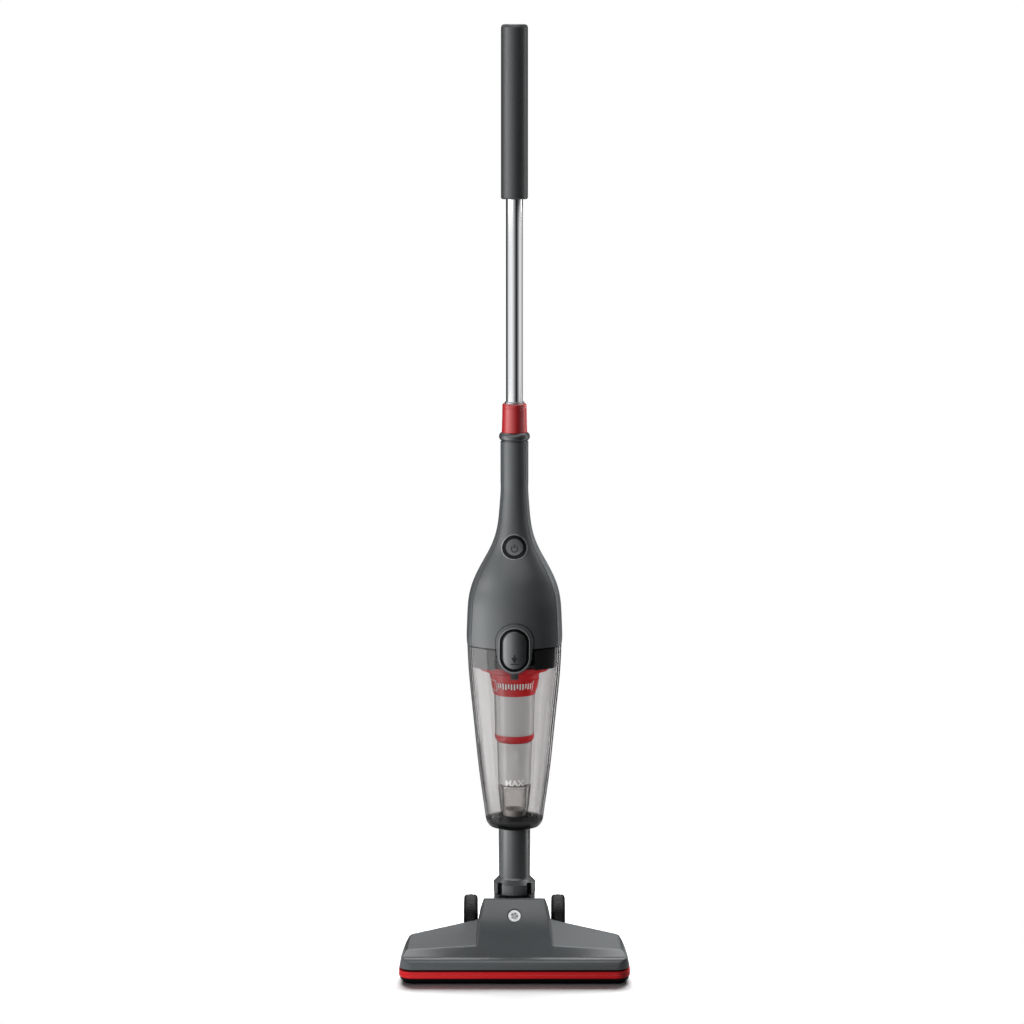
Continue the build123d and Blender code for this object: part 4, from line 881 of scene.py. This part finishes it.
# %% The word and its line
FILL_Z, FILL_Y = 0.2265, -0.08
deselect()
bpy.ops.object.text_add(location=(0, FILL_Y, FILL_Z - 0.0030), rotation=FRONTWARDS)
lettering = bpy.context.object
lettering.data.body = "MAX"
lettering.data.align_x = "CENTER"
lettering.data.size = 0.0098
lettering.data.offset = 0.00022
lettering.data.space_character = 1.05
bpy.ops.object.convert(target="MESH")
lettering = bpy.context.object
bake_place(lettering)
fill_mark = join([lettering, bar(0.024, 0.0009, FILL_Z - 0.0055, FILL_Y, 16)])
lay_on(fill_mark, "bin_shell")
settle(fill_mark, "fill_mark", "dust_bin", "pale_ink")

# %% [markdown]
# ## The panel on the red filter cap
# The front of the red cap has a framed panel. Here it gets a row of short pale bars, as a grille
# symbol would have, between two upright ends. The cap is a cone, so one bar is made at its front,
# leaning with the wall, and turned about the axis for the others. The frame's two long lines are
# spun from the panel's left end. Spin turns clockwise here, seen from above, so they run on round
# the left side of the cap and not across its front. A negative angle would close the frame.

# %% Lines and bars on a cone
CONE_SLOPE, PROUD, LINE_DEPTH = 0.19, 0.00003, 0.0003


def cap_radius(z):
    """How far from the axis a line on the cap's wall is at one height."""
    return (24.4 + CONE_SLOPE * (z / MM - 325) + 0.8) * MM + PROUD


def spun_line(z, height, turn):
    """A thin band round the cap at one height, from the panel's left end towards the back."""
    deselect()
    bpy.ops.mesh.primitive_cube_add(size=1, location=(0, -cap_radius(z), z))
    line = bpy.context.object
    line.scale = (0.00002, LINE_DEPTH, height)
    bake_place(line)
    line.data.transform(Matrix.Rotation(-turn, 4, "Z"))
    edit_all()
    end_normal = Vector((math.cos(turn), -math.sin(turn), 0))
    select_faces(lambda centre, normal: normal.dot(end_normal) > 0.9)
    bpy.ops.mesh.spin(steps=28, angle=2 * turn, center=(0, 0, 0), axis=(0, 0, 1))
    bpy.ops.object.mode_set(mode="OBJECT")
    return line


def leaning_bar(width, angle, foot, top):
    """An upright bar on the wall of the cap, turned about the axis."""
    middle, lean = (foot + top) / 2, math.atan(CONE_SLOPE)
    deselect()
    bpy.ops.mesh.primitive_cube_add(
        size=1, location=(0, -cap_radius(middle), middle), rotation=(lean, 0, 0))
    piece = bpy.context.object
    piece.scale = (width, LINE_DEPTH, (top - foot) / math.cos(lean))
    bake_place(piece)
    piece.data.transform(Matrix.Rotation(angle, 4, "Z"))
    return piece


# %% The panel
PANEL_TOP, PANEL_FOOT, PANEL_TURN, FRAME_LINE = 0.3445, 0.3325, math.radians(49), 0.0007
BARS, BAR_SWEEP, BAR_WIDTH, BAR_INSET = 13, math.radians(42), 0.0016, 0.0025
panel = [spun_line(z, FRAME_LINE, PANEL_TURN) for z in (PANEL_TOP, PANEL_FOOT)]
for side in (-1, 1):
    panel.append(leaning_bar(FRAME_LINE, side * PANEL_TURN, PANEL_FOOT, PANEL_TOP))
for i in range(BARS):
    angle = (i / (BARS - 1) - 0.5) * 2 * BAR_SWEEP
    shorter = 0.0016 if i % 3 == 1 else 0.0
    foot, top = PANEL_FOOT + BAR_INSET + shorter, PANEL_TOP - BAR_INSET
    panel.append(leaning_bar(BAR_WIDTH, angle, foot, top))
settle(join(panel), "cap_panel", "filter_unit", "pale_ink")

# %% [markdown]
# ## The floor
# The studio is a plain white room. A lamp above and behind lights the floor up to white and lays
# the shadow of the head forward. Away from the machine the floor fades out, and the white world
# takes over. The floor is pale where it is looked at, but dark to the light that bounces off it, so
# that it doesn't lift the shadows under the machine. In mirrors it is a fifth of the way to pale.


# %% Kinds of ray
def ray_kinds(finish, *kinds):
    """1 for a ray of one of the kinds, else 0."""
    path = finish.node("ShaderNodeLightPath", {}, {}).socket.node
    total = Wire(finish, path.outputs[kinds[0]])
    for kind in kinds[1:]:
        total = total + Wire(finish, path.outputs[kind])
    return total.clamped()


# %% Floor
FADE_FROM, FADE_TO = 0.30, 0.62
FLOOR_DARK, FLOOR_PALE, MIRRORED_SHARE = flat_grey(0.08), flat_grey(0.86), 0.2
paper = Finish("floor_white")
away = paper.length(paper.place())
fade = paper.slope(away, FADE_FROM, FADE_TO, kind="SMOOTHSTEP")
looked_at = ray_kinds(paper, "Is Camera Ray", "Is Transmission Ray")
looked_at = (looked_at + ray_kinds(paper, "Is Glossy Ray") * MIRRORED_SHARE).clamped()
sheet = paper.node("ShaderNodeBsdfDiffuse", {}, {
    "Color": paper.blend(looked_at, FLOOR_DARK, FLOOR_PALE)})
deselect()
bpy.ops.mesh.primitive_plane_add(size=4 * FADE_TO, location=(0, 0, 0))
floor = bpy.context.object
floor.name = "studio_floor"
floor.data.materials.append(paper.done(paper.mix(fade, sheet, paper.see_through(WHITE))))
print("floor", 4 * FADE_TO, "m wide")

# %% [markdown]
# ## The world
# The world is white to look at and to look through, but dim as a lamp, so that the plastic keeps
# its deep shadows. In a mirror it is a room with bright and dark walls: a ramp over the azimuth
# says how bright the room is all round, and above it is a ceiling with a bright strip in front and
# a bright part behind. Product studios are lit like this, because a round tube in an evenly white
# room looks flat.

# %% World
AMBIENT = 0.07
ROUND_ABOUT = (
    (-160, 0.02), (-125, 0.02), (-108, 0.25), (-92, 0.9), (-60, 1.1), (-34, 1.1), (-22, 0.85),
    (-6, 0.5), (8, 0.22), (20, 0.02), (27, 0.01), (38, 0.10), (52, 0.25), (66, 0.7), (84, 1.05),
    (102, 0.65), (130, 0.6), (150, 0.1),
)
sky = Finish("studio_world", world=True)
x, y, rise = sky.split(sky.node("ShaderNodeTexCoord", {}, {}, "Generated"))
azimuth = x.angle(0 - y) / (2 * math.pi) + 0.5
stops = [((degrees + 180) / 360, flat_grey(level)) for degrees, level in ROUND_ABOUT]
around = sky.node("ShaderNodeValToRGB", {"stops": stops}, {"Fac": azimuth})
overhead = sky.slope(rise, 0.45, 0.90, 0.65, 0.12)
ceiling = sky.slope(rise, 0.06, 0.20)
behind = sky.slope(y, 0.05, 0.25) * sky.slope(rise, 0.66, 0.80, 0.0, 5.0)
strip_light = (rise > 0.64) * (rise < 0.84) * (y < -0.45) * 3.4
room = around * (1 - ceiling) + overhead * ceiling + behind + strip_light
seen = ray_kinds(sky, "Is Camera Ray", "Is Transmission Ray")
lit_by = 1 - ray_kinds(sky, "Is Camera Ray", "Is Transmission Ray", "Is Glossy Ray")
strength = seen + ray_kinds(sky, "Is Glossy Ray") * room + AMBIENT * lit_by
bpy.context.scene.world = sky.done(
    sky.node("ShaderNodeBackground", {}, {"Color": WHITE, "Strength": strength}))
print("steps round the room", len(ROUND_ABOUT))

# %% [markdown]
# ## Lamps
# A tall soft box on the left makes the bright side of every round part, a narrow one on the right
# draws the thin rim of light, and a third, behind it on the right, lights what faces up and back.
# A faint lamp low in front stands for the light that a white floor throws back. They light the
# machine alone: light linking keeps them off the floor, whose shadow belongs to two lamps of its
# own. The last two lamps reach only the floor head and the things inside the bin.

# %% What each lamp may light
machine, ground, contents, head, upright = [
    bpy.data.collections.new(name) for name in ("machine", "ground", "contents", "head", "upright")]
for thing in bpy.context.scene.objects:
    if thing is floor:
        ground.objects.link(thing)
    elif thing.type == "MESH":
        machine.objects.link(thing)
        if thing.name.startswith(("filter_", "cap_", "inlet_")):
            contents.objects.link(thing)
        if thing.name.startswith("head_"):
            head.objects.link(thing)
        elif not thing.name.startswith(("left_wheel", "right_wheel")):
            upright.objects.link(thing)


# %% Lamps
def stand_round(piece, azimuth, distance, height):
    """Azimuth 0 is in front of the machine, and 90 on its right."""
    turn = math.radians(azimuth)
    piece.location = (math.sin(turn) * distance, -math.cos(turn) * distance, height)


def soft_box(name, azimuth, distance, height, width, tall, power, aim, lights=machine):
    """An area lamp, turned to a point on the axis at the height `aim`."""
    data = bpy.data.lights.new(name, "AREA")
    data.shape, data.size, data.size_y, data.energy = "RECTANGLE", width, tall, power
    lamp = bpy.data.objects.new(name, data)
    bpy.context.scene.collection.objects.link(lamp)
    stand_round(lamp, azimuth, distance, height)
    towards = Vector((0, 0, aim)) - lamp.location
    lamp.rotation_euler = towards.to_track_quat("-Z", "Y").to_euler()
    lamp.visible_glossy = False
    lamp.light_linking.receiver_collection = lights
    if lights is not ground:
        lamp.light_linking.blocker_collection = machine
    print(name, power, "W")


soft_box("key_left", -60, 2.0, 0.6, 1.3, 2.2, 50, 0.6)
soft_box("rim_right", 109, 1.5, 0.7, 0.16, 2.0, 4.0, 0.55)
soft_box("top_back", 128, 0.80, 0.74, 0.6, 0.5, 15, 0.0)
soft_box("floor_wash", 180, 1.06, 1.34, 1.7, 1.1, 86, 0.0, ground)
soft_box("floor_bounce", -28, 0.36, -0.12, 0.3, 0.12, 0.7, 0.03)
soft_box("floor_front", 0, 1.3, 1.1, 1.2, 1.2, 1.6, 0.0, ground)
soft_box("wing_right", 100, 0.46, 0.5, 0.2, 0.2, 0.9, 0.0, head)
soft_box("bin_fill", 55, 1.2, 0.4, 0.6, 0.6, 15, 0.3, contents)

# %% [markdown]
# ## Cards
# Round things mirror the whole room, so white and black cards stand round them, where a studio
# would put up boards and black cloth. The cards show only in reflections, and the low flat head
# doesn't see their light, so no glare lies on it.


# %% Cards that only reflections see
def card(name, azimuth, width, low, high, distance=1.3, level=0.0):
    """An upright card that faces the machine."""
    deselect()
    bpy.ops.mesh.primitive_plane_add(size=1, rotation=(math.pi / 2, 0, math.radians(azimuth)))
    piece = bpy.context.object
    piece.name = name
    piece.scale = (width, high - low, 1)
    stand_round(piece, azimuth, distance, (low + high) / 2)
    finish = Finish(name)
    glow = finish.node("ShaderNodeEmission", {}, {"Color": WHITE, "Strength": level})
    piece.data.materials.append(finish.done(glow))
    piece.visible_camera = piece.visible_diffuse = piece.visible_shadow = False
    piece.visible_transmission = piece.visible_volume_scatter = False
    piece.light_linking.receiver_collection = upright


# Each large card stands in two pieces, and the room's own walls show in the gap between them.
for low, high in ((-1.2, 0.50), (0.82, 1.3)):
    card("card_left", -72, 0.75, low, high, level=4.6)
    card("card_left_soft", -38, 0.70, low, high, level=2.0)
    card("card_right", 56, 1.9, low, high)
    card("card_rim", 109, 0.22, low, high, level=3.8)
    card("card_back_right", 143, 1.15, low, high)
    card("card_back_left", -138, 1.25, low, high)
for azimuth, width, level in ((-116, 0.22, 4.0), (140, 0.14, 2.4)):
    card("card_glint", azimuth, width, -0.085, 0.19, distance=1.1, level=level)

# %% [markdown]
# ## The camera
# A long lens, nearly four metres away and a little above the middle, looks slightly down. The small
# shifts set the machine in the frame without turning the lens.

# %% Camera
LOOKS_DOWN = 8.2356
lens = bpy.data.cameras.new("camera")
camera = bpy.data.objects.new("camera", lens)
bpy.context.scene.collection.objects.link(camera)
lens.sensor_width, lens.lens = 36.0, 116.46
lens.shift_x, lens.shift_y = -0.00240, -0.00834
lens.clip_start, lens.clip_end = 0.1, 100
camera.location = (0, -3.8, 1.1)
camera.rotation_euler = (math.radians(90 - LOOKS_DOWN), 0, 0)
bpy.context.scene.camera = camera
bpy.context.scene.view_settings.view_transform = "Standard"
print("lens", lens.lens, "mm, looking down by", LOOKS_DOWN, "degrees")
